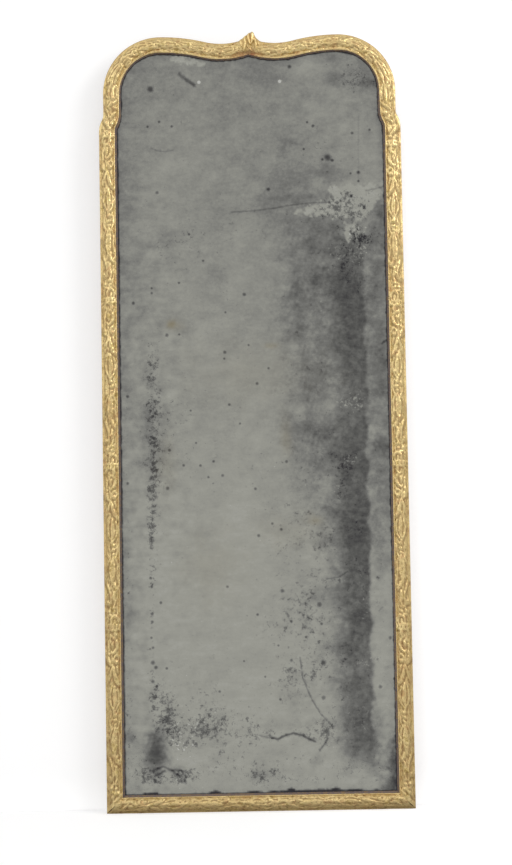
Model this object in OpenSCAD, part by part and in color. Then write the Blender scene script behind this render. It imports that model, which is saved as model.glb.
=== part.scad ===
// Pier mirror with a shaped crest, hung on two ring hangers.
// Drawn lying down: X right, Y up the mirror, Z from the back face to the front.
// Each sub-part is then stood upright, with its back in the plane y = 0 and its foot at z = 0.

/* [Frame] */
// Width over the two stiles
overall_w = 620; // [560:1:700]
// Height of the outer edge at the top of the two humps
hump_h = 1581; // [1450:1:1700]
// Width of the frame moulding, outer edge to sight edge
rail_w = 36.5; // [35:0.5:40]

/* [Crest] */
// Straight length of the ears between the shoulders and the corners
ear_len = 42; // [34:1:100]
// How far each ear steps in from its stile
shoulder_step = 9.25; // [6:0.25:14]
// Radius of the two bends that make the shoulder step
shoulder_r = 40; // [34:1:60]
// Radius of the round corners, on the moulding's centre line
corner_r = 100; // [80:1:115]
// Radius of the humps, on the centre line
hump_r = 355; // [300:5:500]
// Radius of the hollow waists beside the centre leaf, on the centre line
waist_r = 160; // [125:1:190]
// Distance from the middle to the lowest point of each waist
waist_x = 56; // [50:1:70]

/* [Centre leaf] */
// Width of the leaf block
leaf_w = 39; // [34:1:46]
// Height of the leaf's tip over the point where the waists meet
leaf_rise = 11; // [5:0.5:20]
// Depth of the leaf's crown, back to front
leaf_crown = 34; // [32:0.5:38]
// Radius of the leaf's domed front
leaf_dome_r = 38; // [36:1:46]
// Height of the dome's middle over the sight edge below it
leaf_dome_up = 20; // [18:1:24]
// Radius of the grooves between the leaf's ribs
leaf_groove_r = 1.2; // [0.8:0.1:1.8]

/* [Moulding] */
// Height of the moulding's flat ground over the back
ground_t = 22; // [20:0.5:26]
// Radius of the hollow along the outer edge
cavetto_r = 7; // [5:0.5:9]
// Width of the flat between the hollow and the cushion
fillet_w = 1.5; // [1:0.25:3]
// Height of the step that the cushion stands on
plinth = 1.5; // [0.5:0.25:3]
// Rise of the cushion over its step
cushion_rise = 7; // [5:0.5:8.5]
// Width of the gap between the cushion and the inner bead
quirk = 1.25; // [0.75:0.25:2.5]
// Radius of the inner bead
bead_r = 2.25; // [1.5:0.25:3]
// Width of the sloping lip at the sight edge
sight_w = 2.25; // [1.5:0.25:3]
// Drop of the sloping lip
sight_drop = 2.5; // [1:0.25:3.5]
// Thickness of the lip over the glass
lip_t = 5; // [4:0.25:6]

/* [Rebates] */
// Width of the glass rebate, from the sight edge
glass_rebate = 9; // [8:0.25:10]
// Width of the backboard rebate, from the sight edge
board_rebate = 16; // [15.5:0.25:17]

/* [Glass] */
// Thickness of the glass plate
glass_t = 4; // [3:0.25:5]
// Thickness of the tin amalgam behind the glass
silver_t = 0.2; // [0.1:0.05:0.4]
// Gap round the edge of the glass
glass_gap = 1.5; // [0.5:0.25:2.5]

/* [Backboards] */
// Thickness of the backboards
board_t = 7; // [5:0.5:8]
// Gap round the edges of the backboards
board_gap = 0.5; // [0.3:0.1:1]
// Gap between one backboard and the next
board_joint = 0.4; // [0.3:0.1:1.5]

/* [Glazing blocks] */
// Length of each glazing block
block_len = 50; // [30:1:60]
// Number of glazing blocks on each stile
side_blocks = 6; // [3:1:9]
// Number of glazing blocks on the bottom rail
bottom_blocks = 3; // [1:1:5]
// Distance of the outermost blocks from the rail ends
block_end = 120; // [70:5:180]

/* [Joinery] */
// Length of the loose tongues across the rail joints
tongue_len = 24; // [16:1:26]
// Width of the loose tongues
tongue_w = 13; // [9:0.5:14]
// Thickness of the loose tongues and mitre keys
tongue_t = 4; // [3:0.5:5]
// Distance of the tongues from the outer edge
tongue_edge = 8; // [7:0.5:9]
// Height of the tongues and mitre keys over the back
tongue_up = 9; // [8.5:0.5:11]
// Length of the legs of the mitre keys
key_leg = 24; // [18:1:28]
// Thickness of the gesso that covers the mitre keys
key_cover = 1; // [0.5:0.25:3]
// Glue gap round tongues, keys, blocks, nails and screws
glue_gap = 0.1; // [0.05:0.05:0.2]

/* [Backboard nails] */
// Radius of the nail shanks
nail_r = 0.9; // [0.7:0.05:1.2]
// Radius of the nail heads
nail_head_r = 2.1; // [1.6:0.1:2.6]
// Thickness of the nail heads
nail_head_t = 1; // [0.6:0.1:1.6]
// Length of the nails
nail_len = 19; // [14:1:20]
// Distance of the nails from the ends of each backboard
nail_end = 30; // [15:1:60]
// Distance of the outer nails of the bottom rail from the middle
nail_spread = 170; // [80:5:220]

/* [Hangers] */
// Height of the ring hangers' pivots
hanger_h = 1240; // [1130:5:1300]
// Width of the hanger straps
strap_w = 13; // [11:0.5:14]
// Thickness of the hanger straps
strap_t = 1.2; // [0.8:0.1:1.6]
// Length of the hanger straps below the pivot
strap_len = 48; // [46:1:60]
// Radius of the ring wire
wire_r = 1.5; // [1.2:0.1:1.8]
// Half the width of the ring, wire centre to wire centre
ring_r = 10.5; // [10:0.25:11]
// Straight length of the ring's sides
ring_leg = 6; // [4:0.5:7]
// Gap between the ring and the frame's outer edge
ring_edge = 0.5; // [0.3:0.1:1]
// Running gap between the wire and its eye
eye_gap = 0.1; // [0.05:0.01:0.1]
// Gap between the eye and the back of the frame
eye_lift = 0.2; // [0.1:0.1:0.6]
// Distance of the upper screw below the pivot
screw_first = 24; // [23:0.5:26]
// Distance between the two screws of a strap
screw_pitch = 17; // [12:0.5:18]
// Radius of the screw shanks
screw_r = 1.75; // [1.4:0.05:2]
// Length of the screw shanks below the head
screw_len = 15; // [10:1:18]
// Radius of the screw heads
screw_head_r = 3.4; // [2.8:0.1:4]
// Height of the screw heads
screw_head_t = 2; // [1.4:0.1:2.4]
// Width and depth of the screw slots
screw_slot = 0.8; // [0.6:0.1:1]

/* [Hidden] */
$fn = 180;
GOLD = [0.74, 0.63, 0.41];
PINE = [0.66, 0.52, 0.36];
BEECH = [0.72, 0.58, 0.42];
IRON = [0.25, 0.23, 0.22];
BRASS = [0.71, 0.58, 0.33];
GLASS = [0.62, 0.66, 0.64, 0.5];
TIN = [0.55, 0.55, 0.53];

// How far cutting shapes run past what they cut
eps = 0.01;
far = 3000;

// How far the curves of the glass outline lap each other: inwards, round their centres, and at the top
nip = 0.05;
turn_lap = 6;
rise_lap = 3;

// How far the curved rails are drawn past their joints before they are cut there, in degrees
end_lap = 1;

// Steps in the curves of the moulding's section, and how far a bend's flats may leave the true curve
cavetto_steps = 4;
cushion_steps = 12;
bead_steps = 5;
bend_slack = 0.09;

// Centre line of the moulding, for the right half
half_rail = rail_w / 2;
outer_x = overall_w / 2;
stile_x = outer_x - half_rail;
ear_x = stile_x - shoulder_step;
shoulder_turn = acos(1 - shoulder_step / (2 * shoulder_r));
hump_y = hump_h - half_rail;
corner_x = ear_x - corner_r;
corner_y = hump_y - corner_r;
shoulder_top = corner_y - ear_len;
shoulder_low = shoulder_top - 2 * shoulder_r * sin(shoulder_turn);
hump_c = [corner_x, hump_y - hump_r];
hump_turn = asin((corner_x - waist_x) / (hump_r + waist_r));
waist_c = [waist_x, hump_c[1] + (hump_r + waist_r) * cos(hump_turn)];
bend_in_c = [stile_x - shoulder_r, shoulder_low];
bend_out_c = [ear_x + shoulder_r, shoulder_top];
corner_c = [corner_x, corner_y];
corner_joint = 45;
leaf_half = leaf_w / 2;
leaf_run = asin((waist_x - leaf_half) / (waist_r - half_rail)) + 1;
leaf_joint = [leaf_half, waist_c[1] - sqrt(pow(waist_r, 2) - pow(waist_x - leaf_half, 2))];

// Moulding section, across from the outer edge
cushion_s = cavetto_r + fillet_w;
bead_s = rail_w - sight_w - bead_r;
cushion_w = bead_s - bead_r - quirk - cushion_s;
cushion_r = (pow(cushion_w / 2, 2) + pow(cushion_rise, 2)) / (2 * cushion_rise);
glass_front = ground_t - lip_t;
glass_back = glass_front - glass_t;
silver_back = glass_back - silver_t;

// Insets from the centre line
glass_d = half_rail - glass_rebate + glass_gap;
wall_d = half_rail - glass_rebate;
board_d = half_rail - board_rebate + board_gap;
ledge_d = half_rail - (board_rebate + glass_rebate) / 2;

// Backboards, counted from the bottom
boards = 5;
board_low = half_rail + board_d;
board_h = (hump_y - board_d - board_low) / boards;
block_leg = silver_back - board_t - 3 * glue_gap;

// Hangers, measured from the frame's back
hanger_x = outer_x - ring_edge - wire_r - ring_r;
eye_r = wire_r + eye_gap;
eye_back = eye_lift + eye_r + strap_t;

function polar(centre, radius, angle) = centre + radius * [cos(angle), sin(angle)];
function arc_points(centre, radius, from, to, steps) =
    [for (i = [0 : steps]) polar(centre, radius, from + (to - from) * i / steps)];
function board_y(i) = board_low + i * board_h;
function even(i, count, low, high) = count == 1 ? (low + high) / 2 : low + i * (high - low) / (count - 1);

// Nail places for the right half, in the plane of the mirror
stile_nails = [for (i = [0 : boards - 1]) each concat(
    [[stile_x - ledge_d, board_y(i) + nail_end]],
    i < boards - 1 ? [[stile_x - ledge_d, board_y(i + 1) - nail_end]] : [])];
ear_nails = [[ear_x - ledge_d, (shoulder_top + corner_y) / 2]];
arch_nails = [polar(corner_c, corner_r - ledge_d, 70), polar(hump_c, hump_r - ledge_d, 90 + hump_turn / 2)];
bottom_nails = [for (x = [-nail_spread, 0, nail_spread]) [x, half_rail + ledge_d]];
screw_places = [for (i = [0, 1]) [hanger_x, hanger_h - screw_first - i * screw_pitch]];

// Stands a drawing upright, with its front towards -Y
module upright() {
    rotate([90, 0, 0]) children();
}

// The left-hand copy of a right-hand shape
module left() {
    mirror([1, 0, 0]) children();
}

module both_sides() {
    children();
    left() children();
}

// A pie slice of a circle, between two angles up to a third of a turn apart
module pie(centre, radius, from, to) {
    reach = 2 * radius;
    translate(centre) intersection() {
        circle(radius);
        polygon([[0, 0], polar([0, 0], reach, from), polar([0, 0], reach, (from + to) / 2), polar([0, 0], reach, to)]);
    }
}

// The area inside the centre line, taken in by d. Each curve laps its neighbours by a hair, so that
// the outlines cross at clean points.
module inside(d) {
    side_x = stile_x - d - nip;
    ear_side_x = ear_x - d - nip;
    low_bend = polar(bend_in_c, shoulder_r - d, shoulder_turn);
    hump_end = polar(hump_c, hump_r - d, 90 + hump_turn);
    middle = waist_c[1] - sqrt(pow(waist_r + d, 2) - pow(waist_x, 2));
    middle_turn = asin(waist_x / (waist_r + d));
    right_side = [[side_x, half_rail + d], [side_x, shoulder_low], low_bend, [ear_side_x, shoulder_top],
        [ear_side_x, corner_y], [corner_x, hump_y - d - 2 * nip], hump_end];
    left_side = [for (i = [len(right_side) - 1 : -1 : 0]) [-right_side[i][0], right_side[i][1]]];
    difference() {
        union() {
            polygon(concat(right_side, [[0, middle + rise_lap]], left_side));
            both_sides() {
                pie(bend_in_c, shoulder_r - d, -turn_lap, shoulder_turn + turn_lap);
                pie(corner_c, corner_r - d, -turn_lap, 90 + turn_lap);
                pie(hump_c, hump_r - d - nip, 90, 90 + hump_turn + turn_lap);
            }
        }
        both_sides() {
            pie(bend_out_c, shoulder_r + d + 2 * nip, 180 - turn_lap, 180 + shoulder_turn + turn_lap);
            pie(waist_c, waist_r + d + 2 * nip, 270 - middle_turn - turn_lap, 270 + hump_turn + turn_lap);
        }
    }
}

// The section of the moulding, as points round it: outer edge at 0, back at height 0
cushion_turn = asin(cushion_w / 2 / cushion_r);
cushion_c = [cushion_s + cushion_w / 2, ground_t + plinth + cushion_rise - cushion_r];
SECTION = concat(
    [[0, 0]],
    arc_points([0, ground_t], cavetto_r, -90, 0, cavetto_steps),
    [[cushion_s, ground_t]],
    arc_points(cushion_c, cushion_r, 90 + cushion_turn, 90 - cushion_turn, cushion_steps),
    [[cushion_s + cushion_w, ground_t]],
    arc_points([bead_s, ground_t], bead_r, 180, 0, bead_steps),
    [[rail_w, ground_t - sight_drop], [rail_w, glass_front], [rail_w - glass_rebate, glass_front],
     [rail_w - glass_rebate, board_t], [rail_w - board_rebate, board_t], [rail_w - board_rebate, 0]]);

// Stations along a bend of the centre line: each is a point and the direction to the outer edge.
// side is 1 where the bend's centre lies on the glass side, and -1 where it lies outside the frame.
function bend_steps(radius, turn) = ceil(abs(turn) / (2 * acos(1 - bend_slack / (radius + half_rail))));
function bend(centre, radius, from, to, side) =
    let (steps = bend_steps(radius, to - from))
    [for (i = [0 : steps]) let (angle = from + (to - from) * i / steps)
        [polar(centre, radius, angle), side * [cos(angle), sin(angle)]]];
function after_first(list) = [for (i = [1 : len(list) - 1]) list[i]];

EAR_LINE = concat(
    bend(bend_in_c, shoulder_r, -end_lap, shoulder_turn, 1),
    after_first(bend(bend_out_c, shoulder_r, 180 + shoulder_turn, 180, -1)),
    bend(corner_c, corner_r, 0, corner_joint + end_lap, 1));
ARCH_LINE = concat(
    bend(corner_c, corner_r, corner_joint - end_lap, 90, 1),
    after_first(bend(hump_c, hump_r, 90, 90 + hump_turn, 1)),
    after_first(bend(waist_c, waist_r, 270 + hump_turn, 270 - leaf_run, -1)));

// A straight length of moulding that runs up from y0 to y1, with its outer edge at x on the right
module straight_rail(x, y0, y1) {
    translate([x, y1, 0]) mirror([1, 0, 0]) rotate([90, 0, 0]) linear_extrude(y1 - y0) polygon(SECTION);
}

// A curved length of moulding through the stations of a line, drawn about the corner's centre
module curved_rail(line) {
    round = len(SECTION);
    last = len(line) - 1;
    points = [for (station = line, p = SECTION)
        concat(station[0] - corner_c + (half_rail - p[0]) * station[1], [p[1]])];
    sides = [for (i = [0 : last - 1], k = [0 : round - 1])
        let (a = i * round + k, b = i * round + (k + 1) % round)
        each [[a, b, b + round], [a, b + round, a + round]]];
    start_cap = [for (k = [round - 1 : -1 : 0]) k];
    end_cap = [for (k = [0 : round - 1]) last * round + k];
    translate(concat(corner_c, [0])) polyhedron(points, concat(sides, [start_cap, end_cap]), convexity = 6);
}

// A loose tongue across a joint at a point of the centre line, for a rail that heads along the given angle
module tongue(point, heading, grow = 0) {
    long = tongue_len + 2 * grow;
    wide = tongue_w + 2 * grow;
    thick = tongue_t + 2 * grow;
    across = half_rail - tongue_edge - tongue_w / 2;
    translate(concat(point, [tongue_up - grow])) rotate(heading)
        translate([-long / 2, -across - wide / 2, 0]) cube([long, wide, thick]);
}

module stile_tongue(grow = 0) {
    tongue([stile_x, shoulder_low], 90, grow);
}

module corner_tongue(grow = 0) {
    tongue(polar(corner_c, corner_r, corner_joint), corner_joint + 90, grow);
}

module leaf_tongue(grow = 0) {
    tongue(leaf_joint, 180, grow);
}

// A three-cornered key let in across the right-hand mitre
module mitre_key(grow = 0) {
    edge = outer_x - key_cover + grow;
    foot = key_cover - grow;
    leg = key_leg + 2 * grow;
    translate([0, 0, tongue_up - grow]) linear_extrude(tongue_t + 2 * grow)
        polygon([[edge, foot], [edge - leg, foot], [edge, foot + leg]]);
}

// Holes for nails or screws, from the back, at a list of places
module holes(places, radius, depth) {
    for (p = places) translate(concat(p, [-eps])) cylinder(r = radius, h = depth + eps);
}

module nail_holes(places) {
    holes(places, nail_r + glue_gap, nail_len + glue_gap);
}

module bottom_rail() {
    color(GOLD) upright() difference() {
        intersection() {
            translate([outer_x, 0, 0]) rotate(-90) straight_rail(0, -overall_w, 0);
            linear_extrude(ground_t + far) polygon([[-outer_x, 0], [outer_x, 0], [0, outer_x]]);
        }
        both_sides() mitre_key(glue_gap);
        nail_holes(bottom_nails);
    }
}

module right_stile_solid() {
    difference() {
        straight_rail(outer_x, 0, shoulder_low);
        linear_extrude(far) polygon([[outer_x, 0], [outer_x - far, far], [outer_x - far, -far], [outer_x, -far]]);
        mitre_key(glue_gap);
        stile_tongue(glue_gap);
        nail_holes(stile_nails);
        holes(screw_places, screw_r + glue_gap, screw_len + glue_gap);
    }
}

module right_stile() {
    color(GOLD) upright() right_stile_solid();
}

module left_stile() {
    color(GOLD) upright() left() right_stile_solid();
}

// Everything on one side of the joint across the corner: 1 for the arch's side, -1 for the ear's
module corner_cut(side) {
    translate(concat(corner_c, [-eps])) rotate(corner_joint) translate([0, side * far / 2, far / 2])
        cube(far, center = true);
}

module right_ear_solid() {
    difference() {
        curved_rail(EAR_LINE);
        corner_cut(1);
        translate([0, shoulder_low - far, -eps]) cube(far);
        corner_tongue(glue_gap);
        stile_tongue(glue_gap);
        nail_holes(ear_nails);
    }
}

module right_ear() {
    color(GOLD) upright() right_ear_solid();
}

module left_ear() {
    color(GOLD) upright() left() right_ear_solid();
}

module right_arch_solid() {
    difference() {
        curved_rail(ARCH_LINE);
        corner_cut(-1);
        translate([leaf_half - far, 0, -eps]) cube(far);
        corner_tongue(glue_gap);
        leaf_tongue(glue_gap);
        nail_holes(arch_nails);
    }
}

module right_arch() {
    color(GOLD) upright() right_arch_solid();
}

module left_arch() {
    color(GOLD) upright() left() right_arch_solid();
}

// The leaf block's outline: the frame band between the two joints, and the pointed tip over it
module leaf_block() {
    tip = waist_c[1] - sqrt(pow(waist_r - half_rail, 2) - pow(waist_x, 2)) + leaf_rise;
    linear_extrude(leaf_crown + eps) difference() {
        intersection() {
            translate([-leaf_half, corner_y]) square([leaf_w, corner_r + leaf_w]);
            inside(-half_rail);
        }
        inside(half_rail);
    }
    linear_extrude(leaf_crown + eps) polygon([[0, tip], [leaf_half, tip - leaf_half], [-leaf_half, tip - leaf_half]]);
}

module crest_leaf() {
    sight_y = waist_c[1] - sqrt(pow(waist_r + half_rail, 2) - pow(waist_x, 2));
    dome_c = [0, sight_y + leaf_dome_up, leaf_crown - leaf_dome_r];
    color(GOLD) upright() difference() {
        intersection() {
            leaf_block();
            translate(dome_c) sphere(leaf_dome_r);
        }
        translate([0, 0, -eps]) linear_extrude(glass_front + eps) inside(wall_d);
        translate([0, 0, -eps]) linear_extrude(board_t + eps) inside(half_rail - board_rebate);
        for (turn = [-52, -20, 20, 52]) translate(dome_c) rotate([0, 0, turn]) rotate([0, 90, 0])
            rotate([0, 0, 90]) rotate_extrude(angle = 90) translate([leaf_dome_r, 0]) circle(leaf_groove_r);
        both_sides() leaf_tongue(glue_gap);
    }
}

module mitre_keys() {
    color(BEECH) upright() both_sides() mitre_key();
}

module loose_tongues() {
    color(BEECH) upright() both_sides() {
        stile_tongue();
        corner_tongue();
        leaf_tongue();
    }
}

module mirror_plate() {
    color(GLASS) upright() translate([0, 0, glass_back]) linear_extrude(glass_t) inside(glass_d);
}

module silvering() {
    color(TIN) upright() translate([0, 0, silver_back]) linear_extrude(silver_t) inside(glass_d);
}

// The section of a glazing block, set against the rebate wall and the back of the glass
module block_section() {
    translate([rail_w - glass_rebate + glue_gap, silver_back - glue_gap])
        polygon([[0, 0], [block_leg, 0], [0, -block_leg]]);
}

module straight_block() {
    mirror([1, 0, 0]) rotate([90, 0, 0]) linear_extrude(block_len, center = true) block_section();
}

module right_blocks() {
    for (i = [0 : side_blocks - 1])
        translate([outer_x, even(i, side_blocks, block_end, shoulder_low - block_end), 0]) straight_block();
}

module right_glazing_blocks() {
    color(PINE) upright() right_blocks();
}

module left_glazing_blocks() {
    color(PINE) upright() left() right_blocks();
}

module bottom_glazing_blocks() {
    reach = outer_x - block_end;
    color(PINE) upright() for (i = [0 : bottom_blocks - 1])
        translate([even(i, bottom_blocks, -reach, reach), 0, 0]) rotate(-90) straight_block();
}

module top_glazing_blocks() {
    hump_half = block_len / 2 / (hump_r - wall_d) * 180 / PI;
    waist_half = block_len / 2 / (waist_r + wall_d) * 180 / PI;
    hump_mid = 90 + hump_turn / 2;
    color(PINE) upright() both_sides() {
        translate(hump_c) rotate(hump_mid - hump_half) rotate_extrude(angle = 2 * hump_half)
            translate([hump_r + half_rail, 0]) mirror([1, 0]) block_section();
        translate(waist_c) rotate(270 - waist_half) rotate_extrude(angle = 2 * waist_half)
            translate([waist_r - half_rail, 0]) block_section();
    }
}

// One of the boards across the back, counted from the bottom
module backboard(i) {
    all_nails = concat(stile_nails, ear_nails, arch_nails, bottom_nails);
    low = board_y(i) + (i == 0 ? -eps : board_joint / 2);
    high = board_y(i + 1) - (i == boards - 1 ? -eps : board_joint / 2);
    places = [for (p = all_nails) if (p[1] > low && p[1] < high) p];
    color(PINE) upright() difference() {
        linear_extrude(board_t) intersection() {
            inside(board_d);
            translate([-outer_x, low]) square([overall_w, high - low]);
        }
        both_sides() {
            holes(places, nail_r + glue_gap, board_t + glue_gap);
            holes(places, nail_head_r + glue_gap, nail_head_t + glue_gap);
        }
    }
}

module bottom_backboard() {
    backboard(0);
}

module lower_backboard() {
    backboard(1);
}

module middle_backboard() {
    backboard(2);
}

module upper_backboard() {
    backboard(3);
}

module crest_backboard() {
    backboard(4);
}

module nails(places) {
    for (p = places) translate(concat(p, [0])) {
        cylinder(r = nail_head_r, h = nail_head_t);
        cylinder(r = nail_r, h = nail_len);
    }
}

module backboard_nails() {
    color(IRON) upright() {
        both_sides() nails(concat(stile_nails, ear_nails, arch_nails));
        nails(bottom_nails);
    }
}

// A strap with a round foot, folded round the ring's bar at its top
module strap() {
    foot = hanger_h - strap_len + strap_w / 2;
    difference() {
        union() {
            translate([hanger_x - strap_w / 2, foot, -strap_t]) cube([strap_w, hanger_h - foot, strap_t]);
            translate([hanger_x, foot, -strap_t]) cylinder(r = strap_w / 2, h = strap_t);
            translate([hanger_x - strap_w / 2, hanger_h, -eye_back]) rotate([0, 90, 0])
                cylinder(r = eye_r + strap_t, h = strap_w);
        }
        translate([hanger_x - strap_w, hanger_h, -eye_back]) rotate([0, 90, 0])
            cylinder(r = eye_r, h = 2 * strap_w);
        for (p = screw_places) translate(concat(p, [-strap_t - eps]))
            cylinder(r = screw_r + glue_gap, h = strap_t + 2 * eps);
    }
}

module right_hanger_strap() {
    color(BRASS) upright() strap();
}

module left_hanger_strap() {
    color(BRASS) upright() left() strap();
}

// A D-shaped ring of round wire, hanging down from its bar
module ring() {
    translate([hanger_x, hanger_h, -eye_back]) {
        translate([-ring_r, 0, 0]) rotate([0, 90, 0]) cylinder(r = wire_r, h = 2 * ring_r);
        for (side = [-1, 1]) translate([side * ring_r, 0, 0]) {
            sphere(wire_r);
            rotate([90, 0, 0]) cylinder(r = wire_r, h = ring_leg);
        }
        translate([0, -ring_leg, 0]) rotate(180) rotate_extrude(angle = 180)
            translate([ring_r, 0]) circle(wire_r);
    }
}

module right_hanger_ring() {
    color(BRASS) upright() ring();
}

module left_hanger_ring() {
    color(BRASS) upright() left() ring();
}

// A round-headed screw that points into the frame
module screw() {
    ball_r = (pow(screw_head_r, 2) + pow(screw_head_t, 2)) / (2 * screw_head_t);
    difference() {
        intersection() {
            translate([0, 0, ball_r - screw_head_t - strap_t]) sphere(ball_r);
            translate([0, 0, -screw_head_t - strap_t]) cylinder(r = screw_head_r + 1, h = screw_head_t);
        }
        translate([-screw_head_r - 1, -screw_slot / 2, -screw_head_t - strap_t - eps])
            cube([2 * screw_head_r + 2, screw_slot, screw_slot + eps]);
    }
    translate([0, 0, -strap_t - eps]) cylinder(r = screw_r, h = screw_len + strap_t);
}

module hanger_screws() {
    color(BRASS) upright() both_sides() for (p = screw_places) translate(concat(p, [0])) screw();
}

bottom_rail();
left_stile();
right_stile();
left_ear();
right_ear();
left_arch();
right_arch();
crest_leaf();
mitre_keys();
loose_tongues();
mirror_plate();
silvering();
left_glazing_blocks();
right_glazing_blocks();
bottom_glazing_blocks();
top_glazing_blocks();
bottom_backboard();
lower_backboard();
middle_backboard();
upper_backboard();
crest_backboard();
backboard_nails();
left_hanger_strap();
right_hanger_strap();
left_hanger_ring();
right_hanger_ring();
hanger_screws();
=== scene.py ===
import math
from functools import partial

import bpy
import numpy as np
from mathutils import Matrix, Vector, geometry


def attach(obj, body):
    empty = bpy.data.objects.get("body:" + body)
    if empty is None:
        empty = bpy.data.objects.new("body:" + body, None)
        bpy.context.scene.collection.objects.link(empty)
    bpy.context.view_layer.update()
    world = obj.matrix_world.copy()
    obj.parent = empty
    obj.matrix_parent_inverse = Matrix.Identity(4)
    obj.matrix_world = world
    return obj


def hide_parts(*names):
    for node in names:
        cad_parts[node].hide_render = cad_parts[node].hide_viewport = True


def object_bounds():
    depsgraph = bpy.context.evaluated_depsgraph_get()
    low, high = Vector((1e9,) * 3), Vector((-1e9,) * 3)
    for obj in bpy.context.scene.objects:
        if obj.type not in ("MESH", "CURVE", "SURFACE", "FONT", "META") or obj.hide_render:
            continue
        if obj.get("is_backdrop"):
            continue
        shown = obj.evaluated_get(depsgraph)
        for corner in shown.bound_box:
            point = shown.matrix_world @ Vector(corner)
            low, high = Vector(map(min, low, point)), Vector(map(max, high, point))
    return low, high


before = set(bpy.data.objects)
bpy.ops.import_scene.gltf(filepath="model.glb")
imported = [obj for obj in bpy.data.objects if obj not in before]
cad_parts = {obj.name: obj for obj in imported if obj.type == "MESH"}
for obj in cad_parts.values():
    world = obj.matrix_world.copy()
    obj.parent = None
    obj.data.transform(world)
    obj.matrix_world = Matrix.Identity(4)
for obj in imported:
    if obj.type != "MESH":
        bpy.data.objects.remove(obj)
CAD_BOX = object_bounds()

bl_info = {
    "name": "Pier Mirror",
    "version": (1, 0, 0),
    "blender": (4, 5, 0),
    "location": "3D View > Sidebar > Pier Mirror",
    "description": "Makes a gilded pier mirror with carved rails, a foxed plate and a boarded back",
    "category": "Object",
}

# ---------------------------------------------------------------- sizes, in millimetres, as in the source
OUTER_X = 310.0
HALF_RAIL = 18.25
STILE_X = OUTER_X - HALF_RAIL
EAR_STEP = 9.25
EAR_X = STILE_X - EAR_STEP
SHOULDER_R = 40.0
CORNER_R = 100.0
HUMP_R = 355.0
WAIST_R = 160.0
WAIST_X = 56.0
HUMP_Y = 1581.0 - HALF_RAIL
CORNER = np.array([EAR_X - CORNER_R, HUMP_Y - CORNER_R])
SHOULDER_TURN = math.acos(1 - EAR_STEP / (2 * SHOULDER_R))
SHOULDER_TOP = CORNER[1] - 42.0
SHOULDER_LOW = SHOULDER_TOP - 2 * SHOULDER_R * math.sin(SHOULDER_TURN)
HUMP = np.array([CORNER[0], HUMP_Y - HUMP_R])
HUMP_TURN = math.asin((CORNER[0] - WAIST_X) / (HUMP_R + WAIST_R))
WAIST = np.array([WAIST_X, HUMP[1] + (HUMP_R + WAIST_R) * math.cos(HUMP_TURN)])
LEAF_HALF = 19.5
GLASS_FRONT = 17.0
GLASS_BACK = 12.8
RAIL_WIDTH = 2 * HALF_RAIL


# ---------------------------------------------------------------- settings
class CarvingSettings(bpy.types.PropertyGroup):
    relief: bpy.props.FloatProperty(
        name="Relief", description="Height of the leaves over the punched ground",
        default=0.0027, min=0.0005, max=0.004, unit="LENGTH")
    ground_drop: bpy.props.FloatProperty(
        name="Ground depth", description="How far the punched ground lies under the crown of the moulding",
        default=0.0018, min=0.0, max=0.003, unit="LENGTH")
    step: bpy.props.FloatProperty(
        name="Carving step", description="Distance between the points of the carved surface along a rail",
        default=0.00115, min=0.0008, max=0.004, unit="LENGTH")


class FinishSettings(bpy.types.PropertyGroup):
    gold: bpy.props.StringProperty(
        name="Gold", description="Colour of the gold leaf, as an sRGB hex value", default="F7DE9F")
    bole: bpy.props.StringProperty(
        name="Bole", description="Colour of the red clay under the gold, as an sRGB hex value",
        default="8E4A2E")
    # This colour is also the painted shade in the hollows and towards the floor.
    grime_and_shade: bpy.props.StringProperty(
        name="Grime", description="Colour of the old dirt in the hollows, as an sRGB hex value",
        default="7A5626")
    wash: bpy.props.StringProperty(
        name="Ochre wash", description="Colour of the painted outer edges, as an sRGB hex value",
        default="B08C55")
    silver: bpy.props.StringProperty(
        name="Amalgam", default="BFBFB4",
        description="Colour of the old tin amalgam seen through the glass, as an sRGB hex value")


class StageSettings(bpy.types.PropertyGroup):
    wall_gap: bpy.props.FloatProperty(
        name="Wall gap", description="Distance from the back of the mirror to the wall behind it",
        default=0.03, min=0.01, max=1.0, unit="LENGTH")
    floor_size: bpy.props.FloatProperty(
        name="Floor size", description="Length of each side of the floor",
        default=9.0, min=2.0, unit="LENGTH")
    key_power: bpy.props.FloatProperty(
        name="Key light", description="Power of the soft light from the right",
        default=41.0, min=0.0, unit="POWER")


# ---------------------------------------------------------------- shapes
def arc(centre, radius, start, end, side):
    """One bend of the moulding's centre line. side is -1 where its centre lies outside the frame."""
    return {"length": abs(end - start) * radius, "centre": centre, "radius": radius, "start": start,
            "way": 1 if end > start else -1, "side": side}


def straight(start, end, normal):
    start, end = np.array(start), np.array(end)
    length = float(np.linalg.norm(end - start))
    return {"length": length, "from": start, "dir": (end - start) / length, "normal": np.array(normal)}


QUARTER = math.pi / 2
# Heights of the clasps over the lower mitre, along the rail: the carver spaced each side by eye.
CLASPS = {"left": (0, 355, 680, 1017, 1359), "right": (0, 347, 676, 1003, 1332)}

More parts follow.
